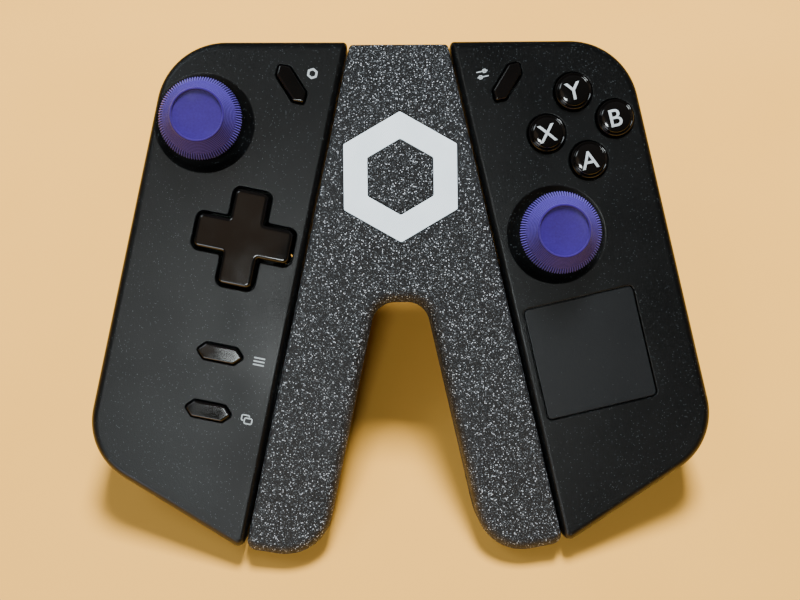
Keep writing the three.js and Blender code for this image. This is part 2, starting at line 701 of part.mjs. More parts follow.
// The right back also carries the scroll wheel between two bearings.
function rightRearShell() {
  const halfSlot = WHEEL_WIDTH / 2 + SLIDING_GAP;
  const slot = box(
    [WHEEL.x - halfSlot, WHEEL.y - WHEEL_RADIUS - SLIDING_GAP, -CUT],
    [WHEEL.x + halfSlot, WHEEL.y + WHEEL_RADIUS + SLIDING_GAP, -WHEEL.depth + WHEEL_RADIUS],
  );
  const block = (x0) => box(
    [x0, WHEEL.y - AXLE_BEARING, -WHEEL.depth - AXLE_BEARING],
    [x0 + AXLE_BEARING, WHEEL.y + AXLE_BEARING, -WHEEL.depth + AXLE_BEARING],
  );
  const axleHole = crossBar(0, CUT, WHEEL.y, -WHEEL.depth, AXLE_RADIUS + GAP)
    .intersect(box([WHEEL.x - halfSlot - AXLE_BEARING - GAP, -CUT * 2, -CUT],
      [WHEEL.x + halfSlot + AXLE_BEARING + GAP, 0, 0]));
  return rearShell(rightFrame, [RELEASE, PADDLE_UPPER])
    .add(block(WHEEL.x - halfSlot - AXLE_BEARING))
    .add(block(WHEEL.x + halfSlot))
    .subtract(slot)
    .subtract(axleHole);
}

// ---------------------------------------------------------------- fixed pieces of a controller

function rail() {
  const bottom = -RAIL_TOP - RAIL_LENGTH;
  const layer = (half, x0, x1) => box(
    [x0, bottom, -RAIL_CENTRE_DEPTH - half],
    [x1, -RAIL_TOP, -RAIL_CENTRE_DEPTH + half],
  );
  return layer(RAIL_NECK / 2, -RAIL_HEAD_REACH, -GAP)
    .add(layer(RAIL_HEAD / 2, -RAIL_HEAD_REACH, -RAIL_NECK_REACH - GAP));
}

function circuitBoard() {
  const back = -BOARD_BACK_DEPTH;
  return plate(outline(controllerCorners, BOARD_INSET), back, back + BOARD_THICKNESS)
    .intersect(box([0, -BOARD_BOTTOM, -CUT], [CUT, -BOARD_TOP, 0]));
}

function battery() {
  const corners = rectangle(BATTERY, BATTERY.width, BATTERY.length, BATTERY_CORNER_RADIUS);
  const front = -BOARD_BACK_DEPTH - BATTERY_SPACE;
  return plate(outline(corners), front - BATTERY.thickness, front);
}

function vibrationMotor() {
  const corners = rectangle(MOTOR, MOTOR.side, MOTOR.side, MOTOR_CORNER_RADIUS);
  return plate(outline(corners), -MOTOR.depth, -MOTOR.depth + MOTOR.thickness);
}

function screw({ x, y }) {
  const top = -BODY_DEPTH + SCREW_HEAD;
  const head = bar(x, y, -BODY_DEPTH, top, SCREW_RADIUS, SCREW_RADIUS, SMALL_ROUND_STEPS);
  const [z0, z1] = [top - SCREW_HEAD / 2, top + WALL];
  return head.add(bar(x, y, z0, z1, SCREW_SHANK_RADIUS, SCREW_SHANK_RADIUS, SMALL_ROUND_STEPS));
}

// A rubber mat with one dome under each button.
function buttonMat(places) {
  const xs = places.map((place) => place.x);
  const ys = places.map((place) => place.y);
  const corner = (x, y) => ({ x, y, r: MAT_MARGIN / 2, steps: SMALL_CORNER_STEPS });
  const corners = [
    corner(Math.min(...xs) - MAT_MARGIN, Math.min(...ys) - MAT_MARGIN),
    corner(Math.max(...xs) + MAT_MARGIN, Math.min(...ys) - MAT_MARGIN),
    corner(Math.max(...xs) + MAT_MARGIN, Math.max(...ys) + MAT_MARGIN),
    corner(Math.min(...xs) - MAT_MARGIN, Math.max(...ys) + MAT_MARGIN),
  ];
  const domeTop = -BUTTON_BOTTOM_DEPTH - BUTTON_TRAVEL - GAP / 2;
  const sheet = plate(outline(corners), -MAT_TOP_DEPTH - MAT_THICKNESS, -MAT_TOP_DEPTH)
    .intersect(plate(outline(controllerCorners, WALL + GAP), -CUT, 0));
  return places.reduce((mat, { x, y }) => mat.add(bar(
    x,
    y,
    -MAT_TOP_DEPTH - MAT_THICKNESS / 2,
    domeTop,
    MAT_DOME_RADIUS,
    MAT_DOME_RADIUS / 2,
    SMALL_ROUND_STEPS,
  )), sheet);
}

function trackpad() {
  const corners = rectangle(PAD, PAD_SIDE, PAD_SIDE, PAD_CORNER_RADIUS);
  return plate(outline(corners), -PAD_THICKNESS - PAD_RECESS, -PAD_RECESS);
}

// ---------------------------------------------------------------- sticks

function stickHousing({ x, y }) {
  const shaft = YOKE_PIN_RADIUS + SLIDING_GAP;
  const corners = rectangle({ x, y }, HOUSING_SIDE, HOUSING_SIDE, HOUSING_CORNER_RADIUS);
  const block = plate(outline(corners), -HOUSING_BOTTOM_DEPTH, -HOUSING_TOP_DEPTH);
  const notch = box(
    [x - YOKE_PIN_REACH - SLIDING_GAP, y - shaft, -STICK_PIVOT_DEPTH - shaft],
    [x + YOKE_PIN_REACH + SLIDING_GAP, y + shaft, 0],
  );
  return block
    .subtract(bar(x, y, -HOUSING_BOTTOM_DEPTH + HOUSING_FLOOR, 0, HOUSING_CAVITY_RADIUS))
    .subtract(notch);
}

// The yoke: a ring round the stem's ball, hung on two pins along X.
function stickYoke({ x, y }) {
  const inner = STICK_BALL_RADIUS + SLIDING_GAP;
  const half = YOKE_THICKNESS / 2;
  const ring = bar(x, y, -STICK_PIVOT_DEPTH - half, -STICK_PIVOT_DEPTH + half, inner + YOKE_RING);
  return ring
    .add(crossBar(x - YOKE_PIN_REACH, x + YOKE_PIN_REACH, y, -STICK_PIVOT_DEPTH, YOKE_PIN_RADIUS))
    .subtract(bar(x, y, -CUT, CUT, inner));
}

// The stem: a ball in the yoke, a shaft, and a dome that closes the well from below.
function stickStem({ x, y }) {
  const arc = (radius, from, to, steps) => Array.from({ length: steps + 1 }, (_, k) => {
    const angle = from + ((to - from) * k) / steps;
    return [radius * Math.sin(angle), radius * Math.cos(angle)];
  });
  const above = (points) => points.map(([radius, z]) => [radius, z - STICK_PIVOT_DEPTH]);
  const shaftTop = STICK_RIM_HEIGHT;
  const inner = STICK_DOME_RADIUS - STICK_DOME_WALL;
  const ballTop = Math.asin(STICK_SHAFT_RADIUS / STICK_BALL_RADIUS);
  const domeTop = Math.asin(STICK_SHAFT_RADIUS / inner);
  const outerTop = Math.asin(STICK_SHAFT_RADIUS / STICK_DOME_RADIUS);
  return turned(x, y, [
    ...above(arc(STICK_BALL_RADIUS, Math.PI, ballTop, CORNER_STEPS)),
    ...above(arc(inner, domeTop, STICK_DOME_ANGLE, CORNER_STEPS / 2)),
    ...above(arc(STICK_DOME_RADIUS, STICK_DOME_ANGLE, outerTop, CORNER_STEPS / 2)),
    [STICK_SHAFT_RADIUS, shaftTop],
    [0, shaftTop],
  ]);
}

// The cap: a knurled cone on a wide rim, dished on top and hollow for the shaft.
function stickCap({ x, y }) {
  const rimLow = STICK_RIM_HEIGHT - STICK_RIM_THICKNESS / 2;
  const rimHigh = STICK_RIM_HEIGHT + STICK_RIM_THICKNESS / 2;
  const body = turned(x, y, [
    [0, rimLow - STICK_RIM_THICKNESS],
    [STICK_NECK_RADIUS, rimLow - STICK_RIM_THICKNESS],
    [STICK_RIM_RADIUS - STICK_RIM_THICKNESS, rimLow],
    [STICK_RIM_RADIUS, STICK_RIM_HEIGHT],
    [STICK_RIM_RADIUS - STICK_RIM_THICKNESS / 3, rimHigh],
    [STICK_DISH_RADIUS + STICK_DISH_DEPTH, STICK_TOP - STICK_DISH_DEPTH / 2],
    [STICK_DISH_RADIUS, STICK_TOP],
    [STICK_DISH_RADIUS - STICK_DISH_DEPTH, STICK_TOP],
    [STICK_DISH_RADIUS / 2, STICK_TOP - STICK_DISH_DEPTH],
    [0, STICK_TOP - STICK_DISH_DEPTH],
  ], ROUND_STEPS + 8);
  const socketTop = STICK_RIM_HEIGHT + STICK_CLICK + GAP;
  return body.subtract(bar(x, y, -CUT, socketTop, STICK_SHAFT_RADIUS + GAP));
}

// ---------------------------------------------------------------- pad and buttons

function directionalPad() {
  const corners = crossCorners(DPAD, DPAD_SPAN, DPAD_ARM, DPAD_CORNER_RADIUS);
  return filletedPlate(corners, -DPAD_BOTTOM_DEPTH, DPAD_HEIGHT, DPAD_BEVEL, 2);
}

// The round-headed pivot that the pad rocks on.
function padPivot() {
  const head = -DPAD_BOTTOM_DEPTH - GAP;
  const foot = -DPAD_PIVOT_DEPTH;
  return turned(DPAD.x, DPAD.y, [
    [0, foot],
    [DPAD_PIVOT_RADIUS, foot],
    [DPAD_PIVOT_RADIUS, (head + foot) / 2],
    [DPAD_PIVOT_RADIUS * 0.7, head - DPAD_PIVOT_RADIUS * 0.2],
    [0, head],
  ], SMALL_ROUND_STEPS);
}

function roundButton({ x, y }) {
  const wide = BUTTON_RADIUS + BUTTON_CLEARANCE + BUTTON_FLANGE;
  const bottom = -BUTTON_BOTTOM_DEPTH;
  return turned(x, y, [
    [0, bottom],
    [wide, bottom],
    [wide, bottom + BUTTON_FLANGE_THICKNESS],
    [BUTTON_RADIUS, bottom + BUTTON_FLANGE_THICKNESS],
    [BUTTON_RADIUS, BUTTON_HEIGHT / 2],
    [BUTTON_RADIUS * 0.9, BUTTON_HEIGHT * 0.78],
    [BUTTON_RADIUS * 0.55, BUTTON_HEIGHT * 0.95],
    [0, BUTTON_HEIGHT],
  ]);
}

function hexButton(place) {
  const levels = [
    { z: -HEX_BOTTOM_DEPTH, points: hexButtonCorners(place, 0) },
    { z: HEX_HEIGHT - HEX_BEVEL, points: hexButtonCorners(place, 0) },
    { z: HEX_HEIGHT, points: hexButtonCorners(place, -HEX_BEVEL * 0.8) },
  ];
  return lofted(levels);
}

function bumper() {
  return bumperBand(0);
}

// The trigger: a curved lever across the back, turning on its pin.
function trigger() {
  const point = ({ y, depth }) => new THREE.Vector2(y, -depth);
  const outer = new THREE.CubicBezierCurve(
    point(TRIGGER_TOP),
    new THREE.Vector2(TRIGGER_TOP.y, -TRIGGER_CROWN.depth * 0.86),
    point(TRIGGER_CROWN),
    point(TRIGGER_TIP),
  ).getPoints(CORNER_STEPS);
  const inner = new THREE.CubicBezierCurve(
    new THREE.Vector2(TRIGGER_TIP.y, -TRIGGER_TIP.depth + TRIGGER_WALL),
    new THREE.Vector2(TRIGGER_PIN.y - TRIGGER_WALL * 3, -TRIGGER_CROWN.depth + TRIGGER_WALL),
    new THREE.Vector2(TRIGGER_PIN.y - TRIGGER_WALL * 2, -TRIGGER_PIN.depth - TRIGGER_WALL),
    new THREE.Vector2(TRIGGER_PIN.y - TRIGGER_LUG_RADIUS, -TRIGGER_PIN.depth + TRIGGER_LUG),
  ).getPoints(CORNER_STEPS);
  const profile = new THREE.Shape([...outer, ...inner]);
  const geometry = new THREE.ExtrudeGeometry(profile, { depth: TRIGGER_WIDTH, bevelEnabled: false });
  // The profile is drawn in (y, z), and its length runs along X.
  geometry.applyMatrix4(new THREE.Matrix4().set(
    0, 0, 1, TRIGGER_NEAR,
    1, 0, 0, 0,
    0, 1, 0, 0,
    0, 0, 0, 1,
  ));
  const bore = crossBar(0, CUT, TRIGGER_PIN.y, -TRIGGER_PIN.depth, TRIGGER_PIN_RADIUS + GAP);
  return solid(geometry).subtract(bore);
}

function triggerPin() {
  const reach = GAP + TRIGGER_LUG;
  return crossBar(
    TRIGGER_NEAR - reach,
    TRIGGER_NEAR + TRIGGER_WIDTH + reach,
    TRIGGER_PIN.y,
    -TRIGGER_PIN.depth,
    TRIGGER_PIN_RADIUS,
  );
}

function backButton(button) {
  const corners = backButtonCorners(button).map((corner) => ({ ...corner, x: -corner.x })).reverse();
  return filletedPlate(
    corners,
    BODY_DEPTH - BACK_BUTTON_ROOM,
    BODY_DEPTH + BACK_BUTTON_PROUD,
    BACK_BUTTON_BEVEL,
    2,
  ).rotate([0, 180, 0]);
}

function scrollWheel() {
  const half = WHEEL_WIDTH / 2;
  const rim = Array.from({ length: WHEEL_RIBS * 2 }, (_, k) => {
    const angle = (k / WHEEL_RIBS) * Math.PI;
    const radius = WHEEL_RADIUS - (k % 2) * WHEEL_RIB_DEPTH;
    return new THREE.Vector2(radius * Math.cos(angle), radius * Math.sin(angle));
  });
  return plate(rim, -half, half)
    .subtract(bar(0, 0, -CUT, CUT, AXLE_RADIUS + GAP, AXLE_RADIUS + GAP, SMALL_ROUND_STEPS))
    .rotate([0, 90, 0])
    .translate([WHEEL.x, WHEEL.y, -WHEEL.depth]);
}

function scrollAxle() {
  const reach = WHEEL_WIDTH / 2 + SLIDING_GAP + AXLE_BEARING;
  return crossBar(WHEEL.x - reach, WHEEL.x + reach, WHEEL.y, -WHEEL.depth, AXLE_RADIUS);
}

// ---------------------------------------------------------------- assembly

function addPiece(group, name, piece, look, side = 1) {
  const { vertProperties, triVerts } = (side > 0 ? piece : piece.mirror([1, 0, 0])).getMesh();
  const geometry = new THREE.BufferGeometry();
  geometry.setAttribute('position', new THREE.BufferAttribute(new Float32Array(vertProperties), 3));
  geometry.setIndex(Array.from(triVerts));
  geometry.computeVertexNormals();
  const mesh = new THREE.Mesh(geometry, new THREE.MeshStandardMaterial(look));
  mesh.name = name;
  group.add(mesh);
}

function addController(hand) {
  const side = hand === 'right' ? 1 : -1;
  const group = side > 0 ? rightFrame : leftFrame;
  const stick = side > 0 ? STICK_RIGHT : STICK_LEFT;
  const add = (name, piece, look) => addPiece(group, `${hand}_${name}`, piece, look, side);
  add('front_cover', side > 0 ? rightCover() : leftCover(), SHELL_BLACK);
  add('rear_shell', side > 0 ? rightRearShell() : leftRearShell(), GRIP_BLACK);
  add('rail', rail(), STEEL);
  add('circuit_board', circuitBoard(), BOARD_GREEN);
  add('battery', battery(), BATTERY_SILVER);
  add('vibration_motor', vibrationMotor(), STEEL);
  add('screw_upper', screw(SCREW_UPPER), STEEL);
  add('screw_lower', screw(SCREW_LOWER), STEEL);
  add('stick_housing', stickHousing(stick), STEEL);
  add('stick_yoke', stickYoke(stick), GRIP_BLACK);
  add('stick_stem', stickStem(stick), GRIP_BLACK);
  add('stick_cap', stickCap(stick), STICK_PURPLE);
  add('bumper', bumper(), SHELL_BLACK);
  add('trigger', trigger(), SHELL_BLACK);
  add('trigger_pin', triggerPin(), STEEL);
  add('release_button', backButton(RELEASE), SHELL_BLACK);
  if (side > 0) {
    add('button_mat', buttonMat(Object.values(diamondPlaces)), RUBBER_GREY);
    Object.entries(diamondPlaces).forEach(([letter, place]) => {
      add(`button_${letter}`, roundButton(place), GLOSS_BLACK);
    });
    add('settings_button', hexButton(SETTINGS), GLOSS_BLACK);
    add('trackpad', trackpad(), SHELL_BLACK);
    add('back_button', backButton(PADDLE_UPPER), SHELL_BLACK);
    add('scroll_wheel', scrollWheel(), RUBBER_GREY);
    add('scroll_axle', scrollAxle(), STEEL);
  } else {
    add('button_mat', buttonMat([MENU, VIEW]), RUBBER_GREY);
    add('dpad', directionalPad(), GLOSS_BLACK);
    add('dpad_pivot', padPivot(), STEEL);
    add('shortcut_button', hexButton(SHORTCUT), GLOSS_BLACK);
    add('menu_button', hexButton(MENU), GLOSS_BLACK);
    add('view_button', hexButton(VIEW), GLOSS_BLACK);
    add('back_button_upper', backButton(PADDLE_UPPER), SHELL_BLACK);
    add('back_button_lower', backButton(PADDLE_LOWER), SHELL_BLACK);
  }
}

addPiece(faceFrame, 'bridge_frame', bridgeFrame(), GLITTER_GREY);
addPiece(faceFrame, 'emblem_inlay', emblemInlay(), INLAY_WHITE);
addController('left');
addController('right');

// The object stands with the middle of its footprint over the origin.
const model = new THREE.Group();
model.add(faceFrame);
model.updateMatrixWorld(true);
const bounds = new THREE.Box3().setFromObject(model, true);
faceFrame.position.y = -(bounds.min.y + bounds.max.y) / 2;

export default model;
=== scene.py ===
import json
import math

import bmesh
import bpy
import numpy as np
from mathutils import Matrix, Vector


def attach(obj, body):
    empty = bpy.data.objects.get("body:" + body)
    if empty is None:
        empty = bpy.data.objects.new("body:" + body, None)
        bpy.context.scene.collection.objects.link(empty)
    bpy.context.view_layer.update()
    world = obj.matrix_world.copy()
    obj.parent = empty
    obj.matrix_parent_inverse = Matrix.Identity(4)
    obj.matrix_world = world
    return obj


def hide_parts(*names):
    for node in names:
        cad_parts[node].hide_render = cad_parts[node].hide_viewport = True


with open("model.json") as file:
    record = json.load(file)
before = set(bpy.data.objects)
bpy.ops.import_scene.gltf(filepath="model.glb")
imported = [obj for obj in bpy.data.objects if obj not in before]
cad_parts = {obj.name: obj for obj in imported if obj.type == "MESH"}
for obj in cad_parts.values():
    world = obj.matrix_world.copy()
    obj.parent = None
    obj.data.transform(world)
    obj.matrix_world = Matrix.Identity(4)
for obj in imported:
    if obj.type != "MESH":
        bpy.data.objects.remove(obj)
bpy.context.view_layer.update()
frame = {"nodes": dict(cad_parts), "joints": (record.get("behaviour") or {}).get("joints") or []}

# ---------------------------------------------------------------- frames
# Lengths are in millimetres in three frames: "face" has X across, Y up the face from the leg tips
# and Z out of it. "right" and "left" start at a controller's inner top corner, with X outwards from
# the bridge, Y up the inner edge and Z out of the face; the left one is mirrored.
MM = 0.001
RAIL_TOP = 22  # below the inner top corner
FRAME_HEIGHT = 128.9  # leg tips to the controllers' inner top corners
joints = {joint["name"]: joint for joint in frame["joints"]}


def reach(node, axis, pick):
    """How far a CAD node goes along an axis, in metres."""
    return pick(vertex.co.dot(axis) for vertex in frame["nodes"][node].data.vertices)


def axes(origin, across, up, out):
    """A frame in millimetres from its origin and its three unit vectors."""
    turn = Matrix((across, up, out)).transposed().to_4x4()
    return Matrix.Translation(origin) @ turn @ Matrix.Scale(MM, 4)


def hand_frame(hand):
    """A controller's frame, read from its cover, its rail and the directions of its joints."""
    up = Vector(joints[f"{hand}_controller_slide"]["axis"]).normalized()
    out = -Vector(joints[f"{hand}_stick_click"]["axis"]).normalized()
    across = up.cross(out) * (1 if hand == "right" else -1)
    corner = (
        across * reach(f"{hand}_front_cover", across, min)
        + up * (reach(f"{hand}_rail", up, max) + RAIL_TOP * MM)
        + out * reach(f"{hand}_front_cover", out, max)
    )
    return axes(corner, across, up, out)


def face_frame():
    """The bridge's frame: the plane of both faces, from the leg tips up."""
    across = Vector((1, 0, 0))
    out = places["right"].to_3x3().col[2] / MM
    up = out.cross(across)
    tips = (places["right"].translation + places["left"].translation) / 2 - up * FRAME_HEIGHT * MM
    return axes(tips, across, up, out)


places = {hand: hand_frame(hand) for hand in ("right", "left")}
places["face"] = face_frame()


def span(place, node):
    """Lowest and highest corner of a CAD node in one of the frames."""
    inverse = places[place].inverted()
    points = np.array([inverse @ vertex.co for vertex in frame["nodes"][node].data.vertices])
    return Vector(points.min(0)), Vector(points.max(0))


def middle(place, node):
    """The middle of a CAD node in one of the frames."""
    low, high = span(place, node)
    return (low + high) / 2


# ---------------------------------------------------------------- camera, floor, light
# The view is held squarely in front of the leaning face, over a pale table top. A ceiling panel
# behind the object lights it without being mirrored; a cool window and the room make the sheen.
VIEW_CENTRE = Vector((-0.54, 63.38, 0))  # where the lens points, on the face
VIEW_DISTANCE = 221.7
LENS = 39.7
VIEW_ROLL, VIEW_PITCH, VIEW_YAW = math.radians(-0.727), math.radians(0.467), math.radians(-1.564)
camera = bpy.data.objects.new("camera", bpy.data.cameras.new("camera"))
camera.data.sensor_width = 36
camera.data.lens = LENS
camera.data.clip_start = 0.01
turned = Matrix.Identity(4)
for angle, axis in ((VIEW_ROLL, "Z"), (VIEW_PITCH, "X"), (VIEW_YAW, "Y")):
    turned = turned @ Matrix.Rotation(angle, 4, axis)
aim = places["face"].to_3x3().normalized().to_4x4() @ turned
stand = places["face"] @ VIEW_CENTRE + aim.col[2].to_3d() * VIEW_DISTANCE * MM
camera.matrix_world = Matrix.Translation(stand) @ aim
bpy.context.scene.collection.objects.link(camera)
bpy.context.scene.camera = camera


def linear(hexcode):
    """An sRGB colour such as "8a8b8c" as linear RGBA."""
    parts = [int(hexcode[i : i + 2], 16) / 255 for i in (0, 2, 4)]
    return [c / 12.92 if c <= 0.04045 else ((c + 0.055) / 1.055) ** 2.4 for c in parts] + [1]


def add(tree, kind, sockets=None, **settings):
    """Adds a node. Sockets maps its inputs to values, or to the outputs that feed them."""
    made = tree.nodes.new(kind)
    for name, value in settings.items():
        setattr(made, name, value)
    for key, value in (sockets or {}).items():
        if isinstance(value, bpy.types.NodeSocket):
            tree.links.new(value, made.inputs[key])
        else:
            made.inputs[key].default_value = value
    return made


def surface(name, colour, roughness, sockets=None):
    """A new material with its shader set: the material, its tree, its shader and Object coordinates."""
    made = bpy.data.materials.new(name)
    made.use_nodes = True
    tree = made.node_tree
    shader = tree.nodes["Principled BSDF"]
    shader.inputs["Base Color"].default_value = linear(colour)
    shader.inputs["Roughness"].default_value = roughness
    for key, value in (sockets or {}).items():
        shader.inputs[key].default_value = value
    return made, tree, shader, add(tree, "ShaderNodeTexCoord").outputs["Object"]


def ramp(tree, value, low, high, start=0, end=1):
    """Goes from start to end while the value goes from low to high."""
    sockets = {"Value": value, "From Min": low, "From Max": high, "To Min": start, "To Max": end}
    return add(tree, "ShaderNodeMapRange", sockets).outputs["Result"]


def blotches(tree, coords, size, low, high, detail=3):
    """Noise with blotches of that size in millimetres, from low to high."""
    noise = add(tree, "ShaderNodeTexNoise", {"Vector": coords, "Scale": 1 / (size * MM), "Detail": detail})
    return ramp(tree, noise.outputs["Fac"], 0.3, 0.7, low, high)


def relief(tree, shader, height, depth, strength=1):
    """Bump of that depth in millimetres."""
    sockets = {"Height": height, "Distance": depth * MM, "Strength": strength}
    if shader.inputs["Normal"].is_linked:
        sockets["Normal"] = shader.inputs["Normal"].links[0].from_socket
    bump = add(tree, "ShaderNodeBump", sockets)
    tree.links.new(bump.outputs["Normal"], shader.inputs["Normal"])


def tint(tree, shader, factor, colour):
    """Mixes another colour over the base colour by a factor."""
    base = shader.inputs["Base Color"]
    under = base.links[0].from_socket if base.is_linked else list(base.default_value)
    mix = add(tree, "ShaderNodeMix", {"Factor": factor, 6: under, 7: linear(colour)}, data_type="RGBA")
    tree.links.new(mix.outputs[2], base)


# A lacquered wooden table top, a little darker in wide blotches.
table_top, tree, shader, coords = surface("pale_table_top", "ecb04a", 0.7)
tint(tree, shader, blotches(tree, coords, 60, 0, 0.3), "e2a43f")
bpy.ops.mesh.primitive_plane_add(size=4, location=(0, 0.6, 0))
floor = bpy.context.object
floor.name = "floor"
floor.data.materials.append(table_top)

world = bpy.data.worlds.new("room")
world.use_nodes = True
world.node_tree.nodes["Background"].inputs["Color"].default_value = linear("d9c8b4")
world.node_tree.nodes["Background"].inputs["Strength"].default_value = 0.09
bpy.context.scene.world = world


def lamp(name, power, size, place, colour, glints=True):
    """A square lamp, turned to the object's middle; without glints it isn't mirrored in anything."""
    light = bpy.data.lights.new(name, "AREA")
    light.energy, light.size = power, size
    light.color = linear(colour)[:3]
    made = bpy.data.objects.new(name, light)
    made.location, made.visible_glossy = place, glints
    made.rotation_euler = (Vector((0, 0, 0.03)) - Vector(place)).to_track_quat("-Z", "Y").to_euler()
    bpy.context.scene.collection.objects.link(made)


lamp("ceiling_panel", 29, 0.26, (0.06, 0.43, 0.9), "f6f6ff", glints=False)
lamp("window", 2.3, 0.13, (-0.1, -0.53, 0.7), "eef6f6")
lamp("warm_wall", 0.1, 0.34, (-0.29, -0.35, 0.75), "ffd9b0")
lamp("far_panel", 1.6, 0.3, (-0.5, 0.1, 0.8), "eefaff")
lamp("room_window", 3.2, 0.45, (-0.56, -0.97, 0.36), "eef6ff")


# ---------------------------------------------------------------- bridge
# An A-shaped grip, 15 mm thick, printed in one piece from dark grey filament full of glitter.
# Its front edge is rounded along the arch and the leg tips, and a channel runs down each side.
SHARP = 0.06  # the smallest radius of a corner


def outline(corners, inset=0.0, even=None):
    """A counter-clockwise ring with rounded corners (x, y, radius). Each edge moves inwards by the
    one inset, or by its own entry of a list. A corner has even + 1 points, or as many as suit it."""
    count = len(corners)
    insets = inset if isinstance(inset, list) else [inset] * count
    along, start = [], []
    for i, corner in enumerate(corners):
        after = corners[(i + 1) % count]
        along.append(Vector((after[0] - corner[0], after[1] - corner[1])).normalized())
        start.append(Vector(corner[:2]) + Vector((-along[i].y, along[i].x)) * insets[i])
    ring = []
    for i, (_, _, full) in enumerate(corners):
        before, after = along[i - 1], along[i]
        tip = start[i - 1] + before * ((start[i] - start[i - 1]).cross(after) / before.cross(after))
        turn = math.atan2(before.cross(after), before.dot(after))
        bend = math.copysign(1, turn)
        radius = max(full - bend * min(insets[i - 1], insets[i]), SHARP)
        inward = Vector((-before.y, before.x)) * bend
        centre = tip - before * radius * math.tan(abs(turn) / 2) + inward * radius
        steps = even or max(3, math.ceil(abs(turn) * (2 + full) * 1.1))
        for k in range(steps + 1):
            angle = turn * k / steps
            ring.append(centre + Matrix.Rotation(angle, 2) @ (-inward * radius))
    return ring


def solid(points, faces):
    """A new closed object from points and faces."""
    mesh = bpy.data.meshes.new("solid")
    mesh.from_pydata([tuple(point) for point in points], [], faces)
    editable = bmesh.new()
    editable.from_mesh(mesh)
    bmesh.ops.remove_doubles(editable, verts=editable.verts, dist=0.0005)
    bmesh.ops.recalc_face_normals(editable, faces=editable.faces)
    editable.to_mesh(mesh)
    editable.free()
    made = bpy.data.objects.new("solid", mesh)
    bpy.context.scene.collection.objects.link(made)
    return made


def loft(sections):
    """A solid through rings of equal point count, listed as (z, ring)."""
    points = [(point[0], point[1], z) for z, ring in sections for point in ring]
    size = len(sections[0][1])
    faces = [list(range(size))[::-1], [len(points) - size + i for i in range(size)]]
    for level in range(0, len(points) - size, size):
        for i in range(size):
            j = (i + 1) % size
            faces.append([level + i, level + j, level + size + j, level + size + i])
    return solid(points, faces)


def plate(corners, low, high, top=0.0, bottom=0.0, inset=0.0, steps=6):
    """An outline pushed along Z. The upper edge is rounded off by one radius or by one per edge,
    the lower edge by one radius."""
    tops = top if isinstance(top, list) else [top] * len(corners)
    quarter = [math.pi / 2 * k / steps for k in range(steps + 1)]
    sections = [
        (low + bottom * (1 - math.sin(a)), outline(corners, inset + bottom * (1 - math.cos(a))))
        for a in (quarter[::-1] if bottom else [0])
    ]
    for a in quarter if max(tops) else [0]:
        insets = [inset + radius * (1 - math.cos(a)) for radius in tops]
        sections.append((high - max(tops) * (1 - math.sin(a)), outline(corners, insets)))
    return loft(sections)


def hole(corners, low, rim, inset=0.0, steps=5, mouth=0.0):
    """A cutter for a hole from the face down to z = low, whose rim is rounded by a radius."""
    quarter = [math.pi / 2 * k / steps for k in range(steps + 1)]
    rings = []
    for a in quarter:
        rings.append((mouth - rim * (1 - math.sin(a)), outline(corners, inset - rim * (1 - math.cos(a)))))
    return loft([(low, outline(corners, inset)), *rings, (mouth + 5, outline(corners, inset - rim))])


def block(low, high):
    """A box between two corners."""
    corners = [(low[0], low[1]), (high[0], low[1]), (high[0], high[1]), (low[0], high[1])]
    return plate([(x, y, SHARP) for x, y in corners], low[2], high[2])


def below_table(place, height=0.0):
    """Everything lower than a height above the table, in one of the frames."""
    made = block((-400, -400, -400), (400, 400, height))
    made.data.transform(places[place].inverted() @ Matrix.Scale(MM, 4))
    return made


def bake(piece):
    """Turns a piece's modifiers into its mesh."""
    depsgraph = bpy.context.evaluated_depsgraph_get()
    mesh = bpy.data.meshes.new_from_object(piece.evaluated_get(depsgraph), depsgraph=depsgraph)
    piece.modifiers.clear()
    piece.data = mesh
    return piece


def carve(piece, *tools, how="DIFFERENCE"):
    """Cuts tools out of a piece, or joins them to it with how="UNION"; the tools are used up."""
    for tool in tools:
        modifier = piece.modifiers.new("carve", "BOOLEAN")
        modifier.operation, modifier.solver, modifier.object = how, "MANIFOLD", tool
    bake(piece)
    for tool in tools:
        bpy.data.objects.remove(tool)
    return piece


def settle(piece, name, place, material, body, slot, *nodes, sharp=32):
    """Moves a finished piece from its frame to its place in the model and ties it to the CAD."""
    mesh = piece.data
    mesh.transform(places[place])
    editable = bmesh.new()
    editable.from_mesh(mesh)
    bmesh.ops.remove_doubles(editable, verts=editable.verts, dist=0.002 * MM)
    bmesh.ops.recalc_face_normals(editable, faces=editable.faces)
    editable.to_mesh(mesh)
    editable.free()
    mesh.shade_smooth()
    mesh.set_sharp_from_angle(angle=math.radians(sharp))
    weighted = piece.modifiers.new("weighted", "WEIGHTED_NORMAL")
    weighted.keep_sharp = True
    bake(piece)
    piece.name = piece.data.name = name
    piece.data.materials.clear()
    piece.data.materials.append(material)
    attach(piece, body)
    if nodes:
        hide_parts(*nodes)


SPLAY = math.acos(places["right"].to_3x3().normalized().col[0].x)
APEX = abs(places["right"].translation.x) / MM
BRIDGE_DEPTH, BRIDGE_TOP = 15, FRAME_HEIGHT - 0.6
LEG_WIDTH, ARCH_TOP, ARCH_RADIUS, TIP_RADIUS, TIP_RISE = 19.8, 62.9, 6, 12, math.radians(10)
SIDE_GAP = 0.4  # bridge to controller
RAIL_GAP, RAIL_STOP, RAIL_SHOULDER = 0.4, 0.8, 1.6  # channel round the rail, below it, and its neck


def side_x(y):
    """The bridge's outer side."""
    return APEX - SIDE_GAP / math.cos(SPLAY) + (FRAME_HEIGHT - y) * math.tan(SPLAY)


def wall_x(y):
    """The leg's inner side, which is one side of the arch."""
    return side_x(y) - LEG_WIDTH / math.cos(SPLAY)


